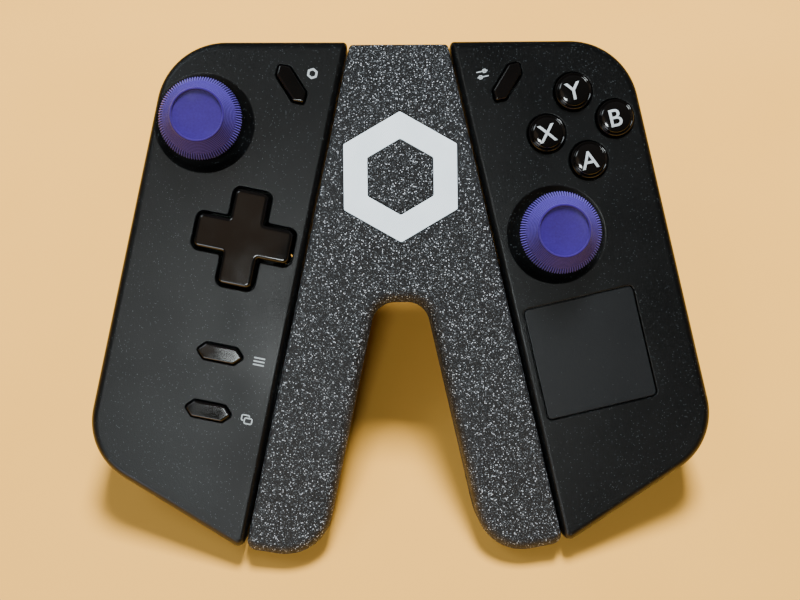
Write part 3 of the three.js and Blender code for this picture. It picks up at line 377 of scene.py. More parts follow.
def leg_end(line):
    """Where the leg's end, which rises outwards, meets one of the leg's sides."""
    y = 0
    for _ in range(12):
        rise = (line(y) - wall_x(0) - TIP_RADIUS / math.cos(SPLAY)) * math.tan(TIP_RISE)
        y = rise - TIP_RADIUS * (1 / math.cos(TIP_RISE) - 1)
    return line(y), y


def rail_channel(hand):
    """The T-shaped channel for a controller's rail, open at the top, in the face frame."""
    low, high = span(hand, f"{hand}_rail")
    foot = low.y - RAIL_STOP
    neck = block((-2.2, foot, low.z + RAIL_SHOULDER), (30, 60, high.z - RAIL_SHOULDER))
    head = block((low.x - RAIL_GAP, foot, low.z - RAIL_GAP), (-1.8, 60, high.z + RAIL_GAP))
    for made in (neck, head):
        made.data.transform(places["face"].inverted() @ places[hand])
        if hand == "left":
            made.data.flip_normals()
    return [neck, head]


emblem_centre = middle("face", "emblem_inlay")
emblem_radius = (span("face", "emblem_inlay")[1].y - span("face", "emblem_inlay")[0].y) / 2
EMBLEM_HOLE = 9.6  # radius to the corners of the ring's hole
EMBLEM_SEAM = 0.25


def hexagon(radius, rounding, centre=(emblem_centre.x, emblem_centre.y)):
    """The corners of a hexagon that stands on one of them."""
    turns = [math.pi / 2 + math.pi / 3 * k for k in range(6)]
    return [(centre[0] + radius * math.cos(a), centre[1] + radius * math.sin(a), rounding) for a in turns]


right_side = [(*leg_end(wall_x), TIP_RADIUS), (*leg_end(side_x), 2.5), (side_x(BRIDGE_TOP), BRIDGE_TOP, 1.2)]
left_side = [(-x, y, radius) for x, y, radius in right_side[::-1]]
crown = (wall_x(ARCH_TOP), ARCH_TOP, ARCH_RADIUS)
corners = [*right_side, *left_side, (-crown[0], *crown[1:]), crown]
fillets = [3, 1.0, 1.1, 1.0, 3, 3, 3, 3]  # leg end, side, top, side, leg end, and round the arch
bridge = plate(corners, -BRIDGE_DEPTH, 0, top=fillets, bottom=0.8, steps=8)
pocket = hole(hexagon(emblem_radius + EMBLEM_SEAM, 0.4), -1.4, 0.15)
carve(pocket, plate(hexagon(EMBLEM_HOLE - EMBLEM_SEAM, 0.4), -20, 20))
carve(bridge, *rail_channel("right"), *rail_channel("left"), pocket, below_table("face"))


def calc(tree, operation, *values):
    """A sum of the shader's or the geometry's own, from numbers or sockets."""
    return add(tree, "ShaderNodeMath", dict(enumerate(values)), operation=operation).outputs[0]


def flakes(tree, coords, size, share, width):
    """Flakes in cells of that size in millimetres: a mask of a share of them, and each one's tone."""
    cells = add(tree, "ShaderNodeTexVoronoi", {"Vector": coords, "Scale": 1 / (size * MM)})
    tones = add(tree, "ShaderNodeSeparateColor", {"Color": cells.outputs["Color"]})
    chosen = calc(tree, "LESS_THAN", tones.outputs["Red"], share)
    near = calc(tree, "LESS_THAN", cells.outputs["Distance"], width)
    return calc(tree, "MULTIPLY", chosen, near), tones.outputs["Green"]


def print_lines(tree, coords, width, distortion):
    """The printer's lines of that width in millimetres, side by side along X."""
    sockets = {"Vector": coords, "Scale": 0.314 / (width * MM), "Distortion": distortion}
    return add(tree, "ShaderNodeTexWave", sockets, bands_direction="X").outputs["Fac"]


# The filament: near-black grey plastic with mica flakes that each face their own way, laid down in
# lines 0.4 mm wide, so that it looks like fine-grained stone from a hand's breadth away.
glitter, tree, shader, coords = surface("glitter_filament", "0e0f10", 0.62)
for size, share, colour in ((0.24, 0.5, "34383a"), (0.28, 0.26, "6a7072"), (0.32, 0.1, "c4ccd0")):
    mask, tone = flakes(tree, coords, size, share, 0.42)
    tint(tree, shader, mask, colour)
    relief(tree, shader, tone, 0.05, 0.5)
tint(tree, shader, blotches(tree, coords, 30, 0, 0.3), "202223")
relief(tree, shader, print_lines(tree, coords, 0.4, 0.6), 0.03, 0.35)
settle(bridge, "bridge_print", "face", glitter, "bridge", "bridge_print", "bridge_frame")

# ---------------------------------------------------------------- emblem
# A plain hexagon ring, printed in white filament as its own piece and pressed into the bridge's
# pocket. Its top layer is drawn in parallel lines, and a dark seam shows all round it.
low, high = span("face", "emblem_inlay")
ring = plate(hexagon(emblem_radius, 0.5), low.z, high.z, top=0.12, steps=3)
carve(ring, hole(hexagon(EMBLEM_HOLE, 0.5), low.z - 1, 0.12, mouth=high.z, steps=3))
# White filament: matt, cloudy, with the lines of its top layer laid on the slant.
white, tree, shader, coords = surface("white_filament", "e9f8fb", 0.5)
tint(tree, shader, blotches(tree, coords, 9, 0, 0.35), "cfdde2")
slanted = add(tree, "ShaderNodeMapping", {"Vector": coords, "Rotation": (0, 0, math.radians(42))})
relief(tree, shader, print_lines(tree, slanted.outputs[0], 0.42, 0.4), 0.02, 0.5)
relief(tree, shader, blotches(tree, coords, 0.15, 0, 1), 0.01, 0.4)
settle(ring, "emblem_ring", "face", white, "bridge", "inlay_white", "emblem_inlay")

# ---------------------------------------------------------------- front covers
# The upper half of each controller's case: a flat injection-moulded plate with a skirt, painted in
# matte black with fine metallic flakes. Its outer edge is rounded, and every opening has a soft rim.
WIDTH, HEIGHT = 44, 130.9
CASE = [
    (0, -HEIGHT, 1.8),
    (WIDTH, -HEIGHT + WIDTH * math.tan(math.radians(20.1)), 16.5),
    (WIDTH, -WIDTH * math.tan(math.radians(12.1)), 17.8),
    (0, 0, 1),
]
FACE_PLATE, WALL, TABLE_CLEARANCE = 2.2, 1.8, 1
COVER_DEPTH = -span("right", "right_front_cover")[0].z
ROUND_BUTTON_HOLE, PAD_GAP, PAD_LEDGE = 4.95, 0.35, 2
CROSS_HOLE, CROSS_HOLE_ARM = 25.4, 9.8
STICK_WELL = [(8.8, -30), (8.8, -1.3), (9.6, -1.2), (10.6, -0.95), (11.3, -0.64), (11.8, -0.37),
              (12.2, -0.17), (12.45, -0.06), (12.7, 0), (12.7, 5)]  # a soft flare, as (radius, z)


def square(x, y, width, length, radius):
    """The corners of a rectangle round a point."""
    u, v = width / 2, length / 2
    return [(x - u, y - v, radius), (x + u, y - v, radius), (x + u, y + v, radius), (x - u, y + v, radius)]


def circle(x, y, radius):
    """The corners of a circle round a point."""
    return square(x, y, 2 * radius, 2 * radius, radius * 0.9995)


def turned_solid(x, y, profile, count=96):
    """A solid of revolution; the profile lists (radius, z) from its lower to its upper end."""
    turns = [2 * math.pi * k / count for k in range(count)]
    return loft([(z, [(x + r * math.cos(a), y + r * math.sin(a)) for a in turns]) for r, z in profile])


def cross(x, y, span_over, arm, convex, concave):
    """The twelve corners of a cross round a point."""
    far, near = span_over / 2, arm / 2
    quarter = [(near, -far, convex), (near, -near, concave), (far, -near, convex)]
    turns = [(1, 0), (0, 1), (-1, 0), (0, -1)]
    return [(x + u * c - v * s, y + u * s + v * c, r) for c, s in turns for u, v, r in quarter]


def long_hexagon(hand, node):
    """The corners of a long six-sided button, from its CAD node; the one at the top is turned."""
    centre = middle(hand, node).to_2d()
    turn = math.radians(0 if node in ("left_menu_button", "left_view_button") else 46)
    tips = [(-3.8, -1.95), (3.8, -1.95), (5.7, 0), (3.8, 1.95), (-3.8, 1.95), (-5.7, 0)]
    return [(*(Matrix.Rotation(turn, 2) @ Vector(tip) + centre), 0.55) for tip in tips]


def stick_centre(hand):
    """Where a stick turns, in its controller's frame."""
    pivot = Vector(joints[f"{hand}_stick_up_down"]["pos_m"])
    return places[hand].inverted() @ pivot


def front_cover(hand):
    """The moulded cover with every opening of its hand cut through the face."""
    cover = plate(CASE, -COVER_DEPTH, 0, top=[2.2, 2.2, 2.2, 1.4], bottom=0.25, steps=10)
    room = carve(plate(CASE, -30, -FACE_PLATE, inset=WALL), below_table("right", TABLE_CLEARANCE + WALL))
    stick = stick_centre(hand)
    tools = [room, below_table("right", TABLE_CLEARANCE), turned_solid(stick.x, stick.y, STICK_WELL)]
    if hand == "left":
        pad = middle(hand, "left_dpad")
        tools.append(hole(cross(pad.x, pad.y, CROSS_HOLE, CROSS_HOLE_ARM, 2.0, 0.8), -30, 0.45))
        buttons = ("left_shortcut_button", "left_menu_button", "left_view_button")
    else:
        pad = middle(hand, "right_trackpad")
        low, high = span(hand, "right_trackpad")
        recess, through = high.x - low.x + 2 * PAD_GAP, high.x - low.x - 2 * PAD_LEDGE
        tools.append(hole(square(pad.x, pad.y, recess, recess, 1.5), low.z - 0.3, 0.22))
        tools.append(plate(square(pad.x, pad.y, through, through, 1.5), -30, 5))
        buttons = ("right_settings_button",)
        for sign in "abxy":
            centre = middle(hand, f"right_button_{sign}")
            tools.append(hole(circle(centre.x, centre.y, ROUND_BUTTON_HOLE), -30, 0.4))
    tools += [hole(long_hexagon(hand, button), -30, 0.3, inset=-0.3) for button in buttons]
    return carve(cover, *tools)


def painted(name, colour, roughness, sparkle, bump, leather=0.0):
    """Case paint: grain of a quarter millimetre, flakes that glint, and a hand's soft shine. Leather
    is the size in millimetres of a moulded grain over it."""
    made, tree, shader, coords = surface(name, colour, roughness, {"Specular IOR Level": 0.4})
    tint(tree, shader, blotches(tree, coords, 0.35, 0, 0.4, 4), "0b0d0e")
    mask, tone = flakes(tree, coords, 0.24, sparkle, 0.35)
    tint(tree, shader, mask, "4a5253")
    tree.links.new(blotches(tree, coords, 26, roughness - 0.06, roughness + 0.08), shader.inputs["Roughness"])
    relief(tree, shader, blotches(tree, coords, 0.22, 0, 1, 4), bump, 0.6)
    relief(tree, shader, tone, 0.02, 0.35)
    if leather:
        sockets = {"Vector": coords, "Scale": 1 / (leather * MM)}
        grain = add(tree, "ShaderNodeTexVoronoi", sockets, feature="DISTANCE_TO_EDGE")
        relief(tree, shader, grain.outputs["Distance"], 0.05, 0.35)
    return made


case_paint = painted("matte_black_case_paint", "050606", 0.37, 0.05, 0.02)
for hand in ("left", "right"):
    cover, node = front_cover(hand), f"{hand}_front_cover"
    settle(cover, f"{hand}_face", hand, case_paint, f"{hand}_controller", "cover_black", node)

# ---------------------------------------------------------------- printed signs
# Small light-grey signs beside the four long buttons, pad-printed on the covers: a ring, three
# bars, two windows and two sliders. They only stand a few hundredths of a millimetre proud.
# Light-grey printing ink, a little uneven.
ink, tree, shader, coords = surface("pad_print_ink", "a9b3b3", 0.5)
tint(tree, shader, blotches(tree, coords, 0.3, 0, 0.6), "8d9798")
relief(tree, shader, blotches(tree, coords, 0.12, 0, 1), 0.01, 0.5)
INK = 0.03  # how proud the ink stands
BAR_PITCH = 0.85


def bar_sign(x, y, width, length):
    """A filled bar."""
    return plate(square(x, y, width, length, min(width, length) * 0.3), -0.3, INK)


def frame_sign(x, y, width, length, line=0.32):
    """The outline of a rectangle."""
    inside = square(x, y, width - 2 * line, length - 2 * line, 0.1)
    return carve(bar_sign(x, y, width, length), plate(inside, -5, 5))


ring_sign = plate(hexagon(1.45, 0.3, (7, -10.1)), -0.3, INK)
carve(ring_sign, plate(hexagon(0.85, 0.2, (7, -10.1)), -5, 5))
windows = carve(frame_sign(6.0, -98.0, 2.2, 1.7), plate(square(5.2, -98.7, 2.4, 1.9, 0.1), -5, 5))
signs = {
    "left": [ring_sign, *(bar_sign(5.5, -83.6 + step * BAR_PITCH, 2.8, 0.34) for step in (-1, 0, 1)),
             windows, frame_sign(5.2, -98.7, 2.2, 1.7)],
    "right": [bar_sign(6.15, -9.6, 2.9, 0.26), bar_sign(6.15, -11.0, 2.9, 0.26),
              frame_sign(6.8, -9.6, 1.0, 1.0, 0.24), frame_sign(5.5, -11.0, 1.0, 1.0, 0.24)],
}
for hand, parts in signs.items():
    printed = carve(parts[0], *parts[1:], how="UNION")
    settle(printed, f"{hand}_printed_signs", hand, ink, f"{hand}_controller", "inlay_white")

# ---------------------------------------------------------------- rear shells
# The lower half of each case: a shallow tray that swells into a palm grip, moulded in black
# plastic with a fine leather-like grain. It is hollow, and lugs for the trigger's pin stand on it.
BODY_DEPTH, GRIP_DEPTH, BACK_ROUNDING = 20, 42.3, 3.5
BUMPER_GAP, BUMPER_TRAVEL, BUTTON_GAP = 0.4, 1.3, 0.4
PIN_BORE, AXLE_BORE, LUG_RADIUS, LUG_WIDTH = 1.5, 1.2, 3.2, 2  # radii, and the lug's width
TRIGGER_PIN = middle("right", "right_trigger_pin")
TRIGGER_LOW, TRIGGER_HIGH = span("right", "right_trigger")


def table_y(x, depth):
    """The y at which the table lies under a point of the case, at a depth behind the face."""
    row = places["right"][2]
    return -(row[0] * x - row[2] * depth + row[3]) / row[1]


def grip(skin, steps):
    """The palm grip: rings that close in towards its deepest line, along the table below."""
    inner, outer = 13, WIDTH - 0.5
    centre = (inner + outer) / 2
    base = BODY_DEPTH - BACK_ROUNDING
    sections = []
    for k in range(steps, -1, -1):
        angle = math.pi / 2 * k / steps
        depth = base + (GRIP_DEPTH - base) * math.sin(angle)
        shrink = 13 * (1 - math.cos(angle))
        foot = table_y(centre, depth) + 3 * (1 - k / steps) - 1.2
        crest = -44 - 2.5 * shrink
        sides = (inner + shrink, outer - shrink)
        foots = [foot + (centre - x) * math.tan(SPLAY) for x in sides]
        radius = max(14 - shrink, 1)
        ring = [(sides[0], foots[0]), (sides[1], foots[1]), (sides[1], crest), (sides[0], crest)]
        sections.append((-depth + skin, outline([(x, y, radius) for x, y in ring], skin, even=8)))
    return loft([*sections, (-COVER_DEPTH - 1.8, sections[-1][1])])


def bumper_band(grow=0, travel=0):
    """The band along the case's top edge that the bumper fills, with room for its free end's travel."""
    low, high = span("right", "right_bumper")
    band = plate(CASE, low.z - grow, high.z + grow, inset=0.3 - grow)
    carve(band, plate(CASE, -60, 5, inset=3.7 + grow))
    return carve(band, block((low.x - grow, low.y - grow - travel, -60), (60, 60, 0)), how="INTERSECT")


def along_x(piece):
    """Turns a piece drawn as (y, z) outlines pushed along X to how it lies in its frame."""
    piece.data.transform(Matrix(((0, 0, 1, 0), (1, 0, 0, 0), (0, 1, 0, 0), (0, 0, 0, 1))))
    return piece


def eased(piece, width, segments, angle=35):
    """Rounds off a piece's edges that turn by more than the angle, with a bevel of that width."""
    bevel = piece.modifiers.new("eased", "BEVEL")
    bevel.width, bevel.segments = width, segments
    bevel.limit_method, bevel.angle_limit = "ANGLE", math.radians(angle)
    return bake(piece)


def trigger_lug(x):
    """A lug on the flat back, round about the trigger's pin."""
    turns = [math.pi + math.pi * k / 20 for k in range(21)]
    pin, radius = TRIGGER_PIN, LUG_RADIUS
    profile = [(pin.y + radius * math.cos(a), pin.z + radius * math.sin(a)) for a in turns]
    profile += [(pin.y + side * radius, -BODY_DEPTH + 0.9) for side in (1, -1)]
    return eased(along_x(loft([(x, profile), (x + LUG_WIDTH, profile)])), 0.35, 3, 40)


def rod(x0, x1, y, z, radius, edge=0.2, count=40):
    """A round rod along X with its ends' edges eased."""
    turns = [2 * math.pi * k / count for k in range(count)]
    ends = ((x0, radius - edge), (x0 + edge, radius), (x1 - edge, radius), (x1, radius - edge))
    return along_x(loft([(x, [(y + r * math.cos(a), z + r * math.sin(a)) for a in turns]) for x, r in ends]))


def rear_shell(hand, buttons, screws):
    """The tray and its grip melted into one skin and hollowed, with its openings and its lugs."""
    tray = plate(CASE, -BODY_DEPTH, -COVER_DEPTH + 6, bottom=BACK_ROUNDING, steps=8)
    carve(tray, below_table("right", TABLE_CLEARANCE))
    swell = carve(grip(0, 14), below_table("right"))
    carve(swell, plate(CASE, -90, 0), how="INTERSECT")
    carve(tray, swell, how="UNION")
    blend = tray.modifiers.new("blend", "REMESH")
    blend.mode, blend.voxel_size = "VOXEL", 0.62
    soften = tray.modifiers.new("soften", "SMOOTH")
    soften.factor, soften.iterations = 0.5, 9
    bake(tray)
    inner_tray = plate(CASE, -BODY_DEPTH + WALL, 8, bottom=2, inset=WALL)
    room = carve(inner_tray, grip(WALL + 0.3, 8), how="UNION")
    carve(room, below_table("right", TABLE_CLEARANCE + WALL))
    above = block((-9, -200, -COVER_DEPTH - 0.3), (60, 60, 30))
    bumper_room = bumper_band(BUMPER_GAP, BUMPER_TRAVEL)
    carve(bumper_room, block((8.6, -24, -16.8), (60, 60, -9)), how="INTERSECT")
    tools = [above, below_table("right"), room, bumper_room]
    for button in buttons:
        low, high = span(hand, button)
        width, length = high.x - low.x, high.y - low.y
        sides = width + 2 * BUTTON_GAP, length + 2 * BUTTON_GAP
        oval = square(*middle(hand, button).to_2d(), *sides, width / 2 + 0.3)
        tools.append(hole(oval, -BODY_DEPTH - 30, 0.01))
    counterbore = [(3, -30), (3, -BODY_DEPTH - 0.01), (2.5, -BODY_DEPTH + 0.45), (2.5, -BODY_DEPTH + 1.3)]
    for screw in screws:
        centre = middle(hand, screw)
        tools.append(turned_solid(centre.x, centre.y, counterbore, 48))
    shell = carve(tray, *tools)
    pin_hole = rod(-20, 60, TRIGGER_PIN.y, TRIGGER_PIN.z, PIN_BORE)
    lugs = [trigger_lug(x) for x in (TRIGGER_LOW.x - LUG_WIDTH - 0.3, TRIGGER_HIGH.x + 0.3)]
    return carve(carve(shell, *lugs, how="UNION"), pin_hole)


# Unpainted black plastic from a mould with a leather-like grain.
grained = painted("grained_black_case", "151617", 0.58, 0.004, 0.02, leather=0.9)
BACK_BUTTONS = {
    "left": ("left_release_button", "left_back_button_upper", "left_back_button_lower"),
    "right": ("right_release_button", "right_back_button"),
}
for hand, buttons in BACK_BUTTONS.items():
    shell = rear_shell(hand, buttons, (f"{hand}_screw_upper", f"{hand}_screw_lower"))
    if hand == "right":
        low, high = span(hand, "right_scroll_wheel")
        axle_low, axle_high = span(hand, "right_scroll_axle")
        wheel = (low + high) / 2
        blocks = [block((x, wheel.y - 2.2, wheel.z - 2.2), (x + 2.2, wheel.y + 2.2, wheel.z + 2.2))
                  for x in (axle_low.x, axle_high.x - 2.2)]
        carve(shell, *blocks, how="UNION")
        slot_shape = square(wheel.x, wheel.y, high.x - low.x + 0.8, high.y - low.y + 0.8, 1.2)
        axle_bore = rod(axle_low.x - 0.3, axle_high.x + 0.3, wheel.y, wheel.z, AXLE_BORE)
        carve(shell, plate(slot_shape, -90, high.z), axle_bore)
    named = f"{hand}_grip_shell"
    settle(shell, named, hand, grained, f"{hand}_controller", "grip_black", f"{hand}_rear_shell", sharp=38)

# ---------------------------------------------------------------- sticks
# Each stick has a soft indigo rubber cap on a black stem. A smooth dish sits on a finely knurled
# cone, and the wide rim has 98 radial ridges; the stem's dome closes the well below the cap.
STICK_RIDGES = 98
KNURL_TWIST = 11  # how far the knurl's crossing lines lean
STEM_RADIUS = 1.7
DISH_EDGE = 6.5, 6.7  # the radii between which the smooth dish ends


def knurl_pattern(tree, x, y, ridges):
    """From a point's place round the stick's axis: its radius, the ridges' and the knurl's height."""
    radius = calc(tree, "SQRT", calc(tree, "ADD", calc(tree, "MULTIPLY", x, x), calc(tree, "MULTIPLY", y, y)))
    turn = calc(tree, "MULTIPLY", calc(tree, "ARCTAN2", y, x), ridges)
    swirl = calc(tree, "MULTIPLY", radius, KNURL_TWIST)
    one, other = (calc(tree, "COSINE", calc(tree, way, turn, swirl)) for way in ("ADD", "SUBTRACT"))
    return radius, calc(tree, "COSINE", turn), calc(tree, "MULTIPLY", one, other)


def node_group(name, kinds):
    """A new Geometry Nodes tree with inputs of these names and kinds: the tree and its inputs."""
    tree = bpy.data.node_groups.new(name, "GeometryNodeTree")
    for label, kind in {"Geometry": "Geometry", **kinds, "Material": "Material"}.items():
        tree.interface.new_socket(label, in_out="INPUT", socket_type=f"NodeSocket{kind}")
    tree.interface.new_socket("Geometry", in_out="OUTPUT", socket_type="NodeSocketGeometry")
    return tree, tree.nodes.new("NodeGroupInput").outputs


def end_group(tree, geometry, material):
    """Ends a Geometry Nodes tree: what it holds is made real and gets its material."""
    real = add(tree, "GeometryNodeRealizeInstances", {0: geometry})
    named = add(tree, "GeometryNodeSetMaterial", {"Geometry": real.outputs[0], "Material": material})
    tree.links.new(named.outputs[0], tree.nodes.new("NodeGroupOutput").inputs[0])
    return tree


def knurl_tree():
    """Geometry Nodes: presses ridges into a cap's rim and a crossed knurl into its cone."""
    kinds = {"Centre": "Vector", "Ridges": "Float", "Ridge Depth": "Float", "Knurl Depth": "Float"}
    tree, given = node_group("cap_knurl", kinds)
    position = add(tree, "GeometryNodeInputPosition").outputs[0]
    normal = add(tree, "GeometryNodeInputNormal").outputs[0]
    offset = add(tree, "ShaderNodeVectorMath", {0: position, 1: given["Centre"]}, operation="SUBTRACT")
    x, y = add(tree, "ShaderNodeSeparateXYZ", {0: offset.outputs[0]}).outputs[:2]
    radius, ridges, knurl = knurl_pattern(tree, x, y, given["Ridges"])
    on_rim = ramp(tree, radius, 8.9, 9.3)
    on_cone = calc(tree, "MULTIPLY", ramp(tree, radius, *DISH_EDGE), ramp(tree, radius, 9.0, 9.3, 1, 0))
    facing_out = ramp(tree, add(tree, "ShaderNodeSeparateXYZ", {0: normal}).outputs[2], 0.1, 0.3)
    presses = []
    for height, where, depth in (
        (ridges, on_rim, given["Ridge Depth"]),
        (knurl, calc(tree, "MULTIPLY", on_cone, facing_out), given["Knurl Depth"]),
    ):
        raised = calc(tree, "MULTIPLY_ADD", height, 0.5, 0.5)
        presses.append(calc(tree, "MULTIPLY", calc(tree, "MULTIPLY", raised, where), depth))
    press = calc(tree, "MULTIPLY", calc(tree, "ADD", *presses), -1)
    push = add(tree, "ShaderNodeVectorMath", {0: normal, "Scale": press}, operation="SCALE")
    moved = add(tree, "GeometryNodeSetPosition", {"Geometry": given["Geometry"], "Offset": push.outputs[0]})
    return end_group(tree, moved.outputs[0], given["Material"])


def grow(piece, tree, **values):
    """Runs a Geometry Nodes tree on a piece with its inputs set, and keeps the result as mesh."""
    modifier = piece.modifiers.new("grow", "NODES")
    modifier.node_group = tree
    for item in tree.interface.items_tree:
        if item.name.lower().replace(" ", "_") in values:
            modifier[item.identifier] = values[item.name.lower().replace(" ", "_")]
    return bake(piece)


def silicone(hand):
    """Indigo silicone, with a painted highlight on every ridge's crest and painted shade between them, plain on
    the dish.
    """
    sockets = {"Sheen Weight": 0.1, "Specular IOR Level": 0.3}
    made, tree, shader, coords = surface(f"indigo_silicone_{hand}", "27125a", 0.6, sockets)
    tint(tree, shader, blotches(tree, coords, 5, 0, 0.45), "2f186c")
    tint(tree, shader, blotches(tree, coords, 0.5, 0, 0.2), "40328a")
    tree.links.new(blotches(tree, coords, 3, 0.42, 0.6), shader.inputs["Roughness"])
    relief(tree, shader, blotches(tree, coords, 0.2, 0, 1), 0.015, 0.5)
    turned = places[hand].to_3x3().normalized()
    if hand == "left":
        turned = turned @ Matrix.Diagonal((-1, 1, 1))
    axis = places[hand] @ stick_centre(hand)
    inside = {"Vector": coords, "Location": axis, "Rotation": turned.to_euler(), "Scale": (MM, MM, MM)}
    across = add(tree, "ShaderNodeMapping", inside, vector_type="TEXTURE").outputs[0]
    x, y = add(tree, "ShaderNodeSeparateXYZ", {0: across}).outputs[:2]
    radius, ridges, knurl = knurl_pattern(tree, x, y, STICK_RIDGES)
    on_rim = calc(tree, "MULTIPLY", ridges, ramp(tree, radius, 8.6, 9.4))
    on_cone = calc(tree, "MULTIPLY", knurl, ramp(tree, radius, 8.6, 9.4, 1, 0))
    crests = calc(tree, "ADD", on_rim, on_cone)
    textured = ramp(tree, radius, *DISH_EDGE)
    # Painted highlight on the crests of the ridges and knurl, and painted shade in the grooves between them,
    # off the dish.
    tint(tree, shader, calc(tree, "MULTIPLY", ramp(tree, crests, 0.1, -0.6, 0, 0.6), textured), "6557bd")
    tint(tree, shader, calc(tree, "MULTIPLY", ramp(tree, crests, 0.1, 0.7, 0, 0.85), textured), "0d0535")
    return made


# Black nylon filled with glass fibre, of the stems and the yokes below them.
socket_black, tree, shader, coords = surface("glass_filled_black_nylon", "0d0e0f", 0.42)
tint(tree, shader, blotches(tree, coords, 1.2, 0, 0.5), "18191b")
relief(tree, shader, blotches(tree, coords, 0.4, 0, 1), 0.02, 0.5)

CAP = [  # (radius, z) from below: the underside and the rim, then the cone, the lip and the dish
    (3.9, 3.1), (4.4, 3.35), (5.2, 3.8), (7, 4.25), (8.8, 4.5), (9.5, 4.62), (9.9, 4.78), (10.15, 4.98),
    (10.25, 5.2), (10.22, 5.42), (10.1, 5.66), (9.9, 5.88),
    *((9.9 - 3.15 * k / 40, 5.88 + 3.55 * k / 40 - 0.12 * math.sin(math.pi * k / 40)) for k in range(1, 41)),
    (6.6, 9.62), (6.46, 9.74), (6.28, 9.8), (6.12, 9.76), (6.04, 9.6), (6.01, 9.36), (5.92, 9.26),
    (5.78, 9.27), (5.4, 9.2), (4.5, 9.06), (3.4, 8.96), (2, 8.9), (0.4, 8.88),
]
ridged = knurl_tree()
for hand in ("left", "right"):
    stick, rubber = stick_centre(hand), silicone(hand)
    cap = turned_solid(stick.x, stick.y, CAP, STICK_RIDGES * 6)
    cap = grow(cap, ridged, centre=(stick.x, stick.y, 0), ridges=float(STICK_RIDGES), ridge_depth=0.42,
               knurl_depth=0.2, material=rubber)
    carve(cap, turned_solid(stick.x, stick.y, [(2.0, -5), (2.0, 5.8)], 48))
    node = f"{hand}_stick_cap"
    settle(cap, f"{hand}_thumb_cap", hand, rubber, f"{hand}_cap", "stick_purple", node, sharp=60)

    def arc(radius, start, end, steps):
        """Points of a ball round the stick's centre, from one angle off its axis to another."""
        turns = [start + (end - start) * k / steps for k in range(steps + 1)]
        return [(radius * math.sin(a), stick.z + radius * math.cos(a)) for a in turns]

    ball, under, over = (math.asin(STEM_RADIUS / radius) for radius in (2.8, 7.6, 8.4))
    dome_edge = math.radians(54)
    stem = turned_solid(stick.x, stick.y, [
        *arc(2.8, math.pi - 0.05, ball, 14), *arc(7.6, under, dome_edge, 12), *arc(8.4, dome_edge, over, 12),
        (STEM_RADIUS, 5.0), (STEM_RADIUS - 0.15, 5.2)], 72)
    node = f"{hand}_stick_stem"
    settle(stem, f"{hand}_stick_dome", hand, socket_black, f"{hand}_stem", "inner_black", node)

# ---------------------------------------------------------------- directional pad
# A one-piece cross in polished black plastic with wide soft bevels, which rocks on a round pivot.
# Black plastic from a polished mould: it mirrors the lamps, a little wavy and smeared.
gloss, tree, shader, coords = surface("polished_black_plastic", "050505", 0.07, {"Coat Weight": 0.4})
tint(tree, shader, blotches(tree, coords, 14, 0, 0.6), "0b0908")
tree.links.new(blotches(tree, coords, 6, 0.05, 0.14, 6), shader.inputs["Roughness"])
relief(tree, shader, blotches(tree, coords, 9, 0, 1, 1), 0.03, 0.3)
low, high = span("left", "left_dpad")
pad = (low + high) / 2
cross_pad = plate(cross(pad.x, pad.y, high.x - low.x, 8.4, 1.4, 0.5), low.z, high.z, top=0.9, steps=8)
settle(cross_pad, "direction_pad", "left", gloss, "left_dpad", "gloss_black", "left_dpad", sharp=40)

# ---------------------------------------------------------------- long buttons
# Four long six-sided buttons in the same polished plastic, two beside the bridge at the top and
# two one above the other on the left controller, each standing a little out of its slot.
for node in ("left_shortcut_button", "left_menu_button", "left_view_button", "right_settings_button"):
    hand = node.split("_")[0]
    low, high = span(hand, node)
    key = plate(long_hexagon(hand, node), low.z, high.z, top=0.55, steps=6)
    settle(key, f"{node}_key", hand, gloss, node, "gloss_black", node, sharp=40)

# ---------------------------------------------------------------- round buttons
# Four domed buttons, clear over black, each with a generic single letter printed in light grey.
# A fine groove runs inside each button's edge and catches the light opposite the lamp.
# The same ink under the buttons' clear skin.
clear_skin = {"Coat Weight": 0.6, "Coat Roughness": 0.05}
letter_ink, tree, shader, coords = surface("letter_ink_under_gloss", "b9c4c4", 0.22, clear_skin)
tint(tree, shader, blotches(tree, coords, 0.8, 0, 0.5), "a3aeaf")
relief(tree, shader, blotches(tree, coords, 0.3, 0, 1), 0.01, 0.4)
BUTTON_RADIUS, FLANGE_RADIUS, FLANGE, LETTER_SIZE = 4.65, 5.55, 0.8, 6.3


def dome(x, y, lift=0.0, foot=-0.2):
    """A button's upper part from its foot up: the edge, the groove inside it and the dome."""
    edge = [(BUTTON_RADIUS, foot), (BUTTON_RADIUS, 0.62), (4.6, 0.78), (4.48, 0.88), (4.34, 0.86)]
    groove = [(4.2, 0.74), (4.05, 0.7), (3.93, 0.8)]
    turns = [math.pi / 2 * k / 14 for k in range(14)]
    lens = [(3.86 * math.cos(a), 0.98 + 0.72 * math.sin(a)) for a in turns]
    profile = edge + groove + lens + [(0.15, 1.7)]
    return turned_solid(x, y, [(r, z + lift if z > foot else z) for r, z in profile], 72)


def letter(sign, x, y):
    """A letter pushed along Z, centred a little towards the lower left of its button."""
    text = bpy.data.curves.new(sign, "FONT")
    text.body, text.size, text.extrude, text.offset = sign, LETTER_SIZE, 2, 0.03
    text.align_x, text.align_y = "CENTER", "CENTER"
    drawn = bpy.data.objects.new(sign, text)
    bpy.context.scene.collection.objects.link(drawn)
    mesh = bpy.data.meshes.new_from_object(drawn.evaluated_get(bpy.context.evaluated_depsgraph_get()))
    bpy.data.objects.remove(drawn)
    faces = [list(face.vertices) for face in mesh.polygons]
    points = np.array([vertex.co for vertex in mesh.vertices])
    centre = (points.min(0) + points.max(0)) / 2
    return solid(points - centre + np.array([x - 0.25, y - 0.15, 1.8]), faces)


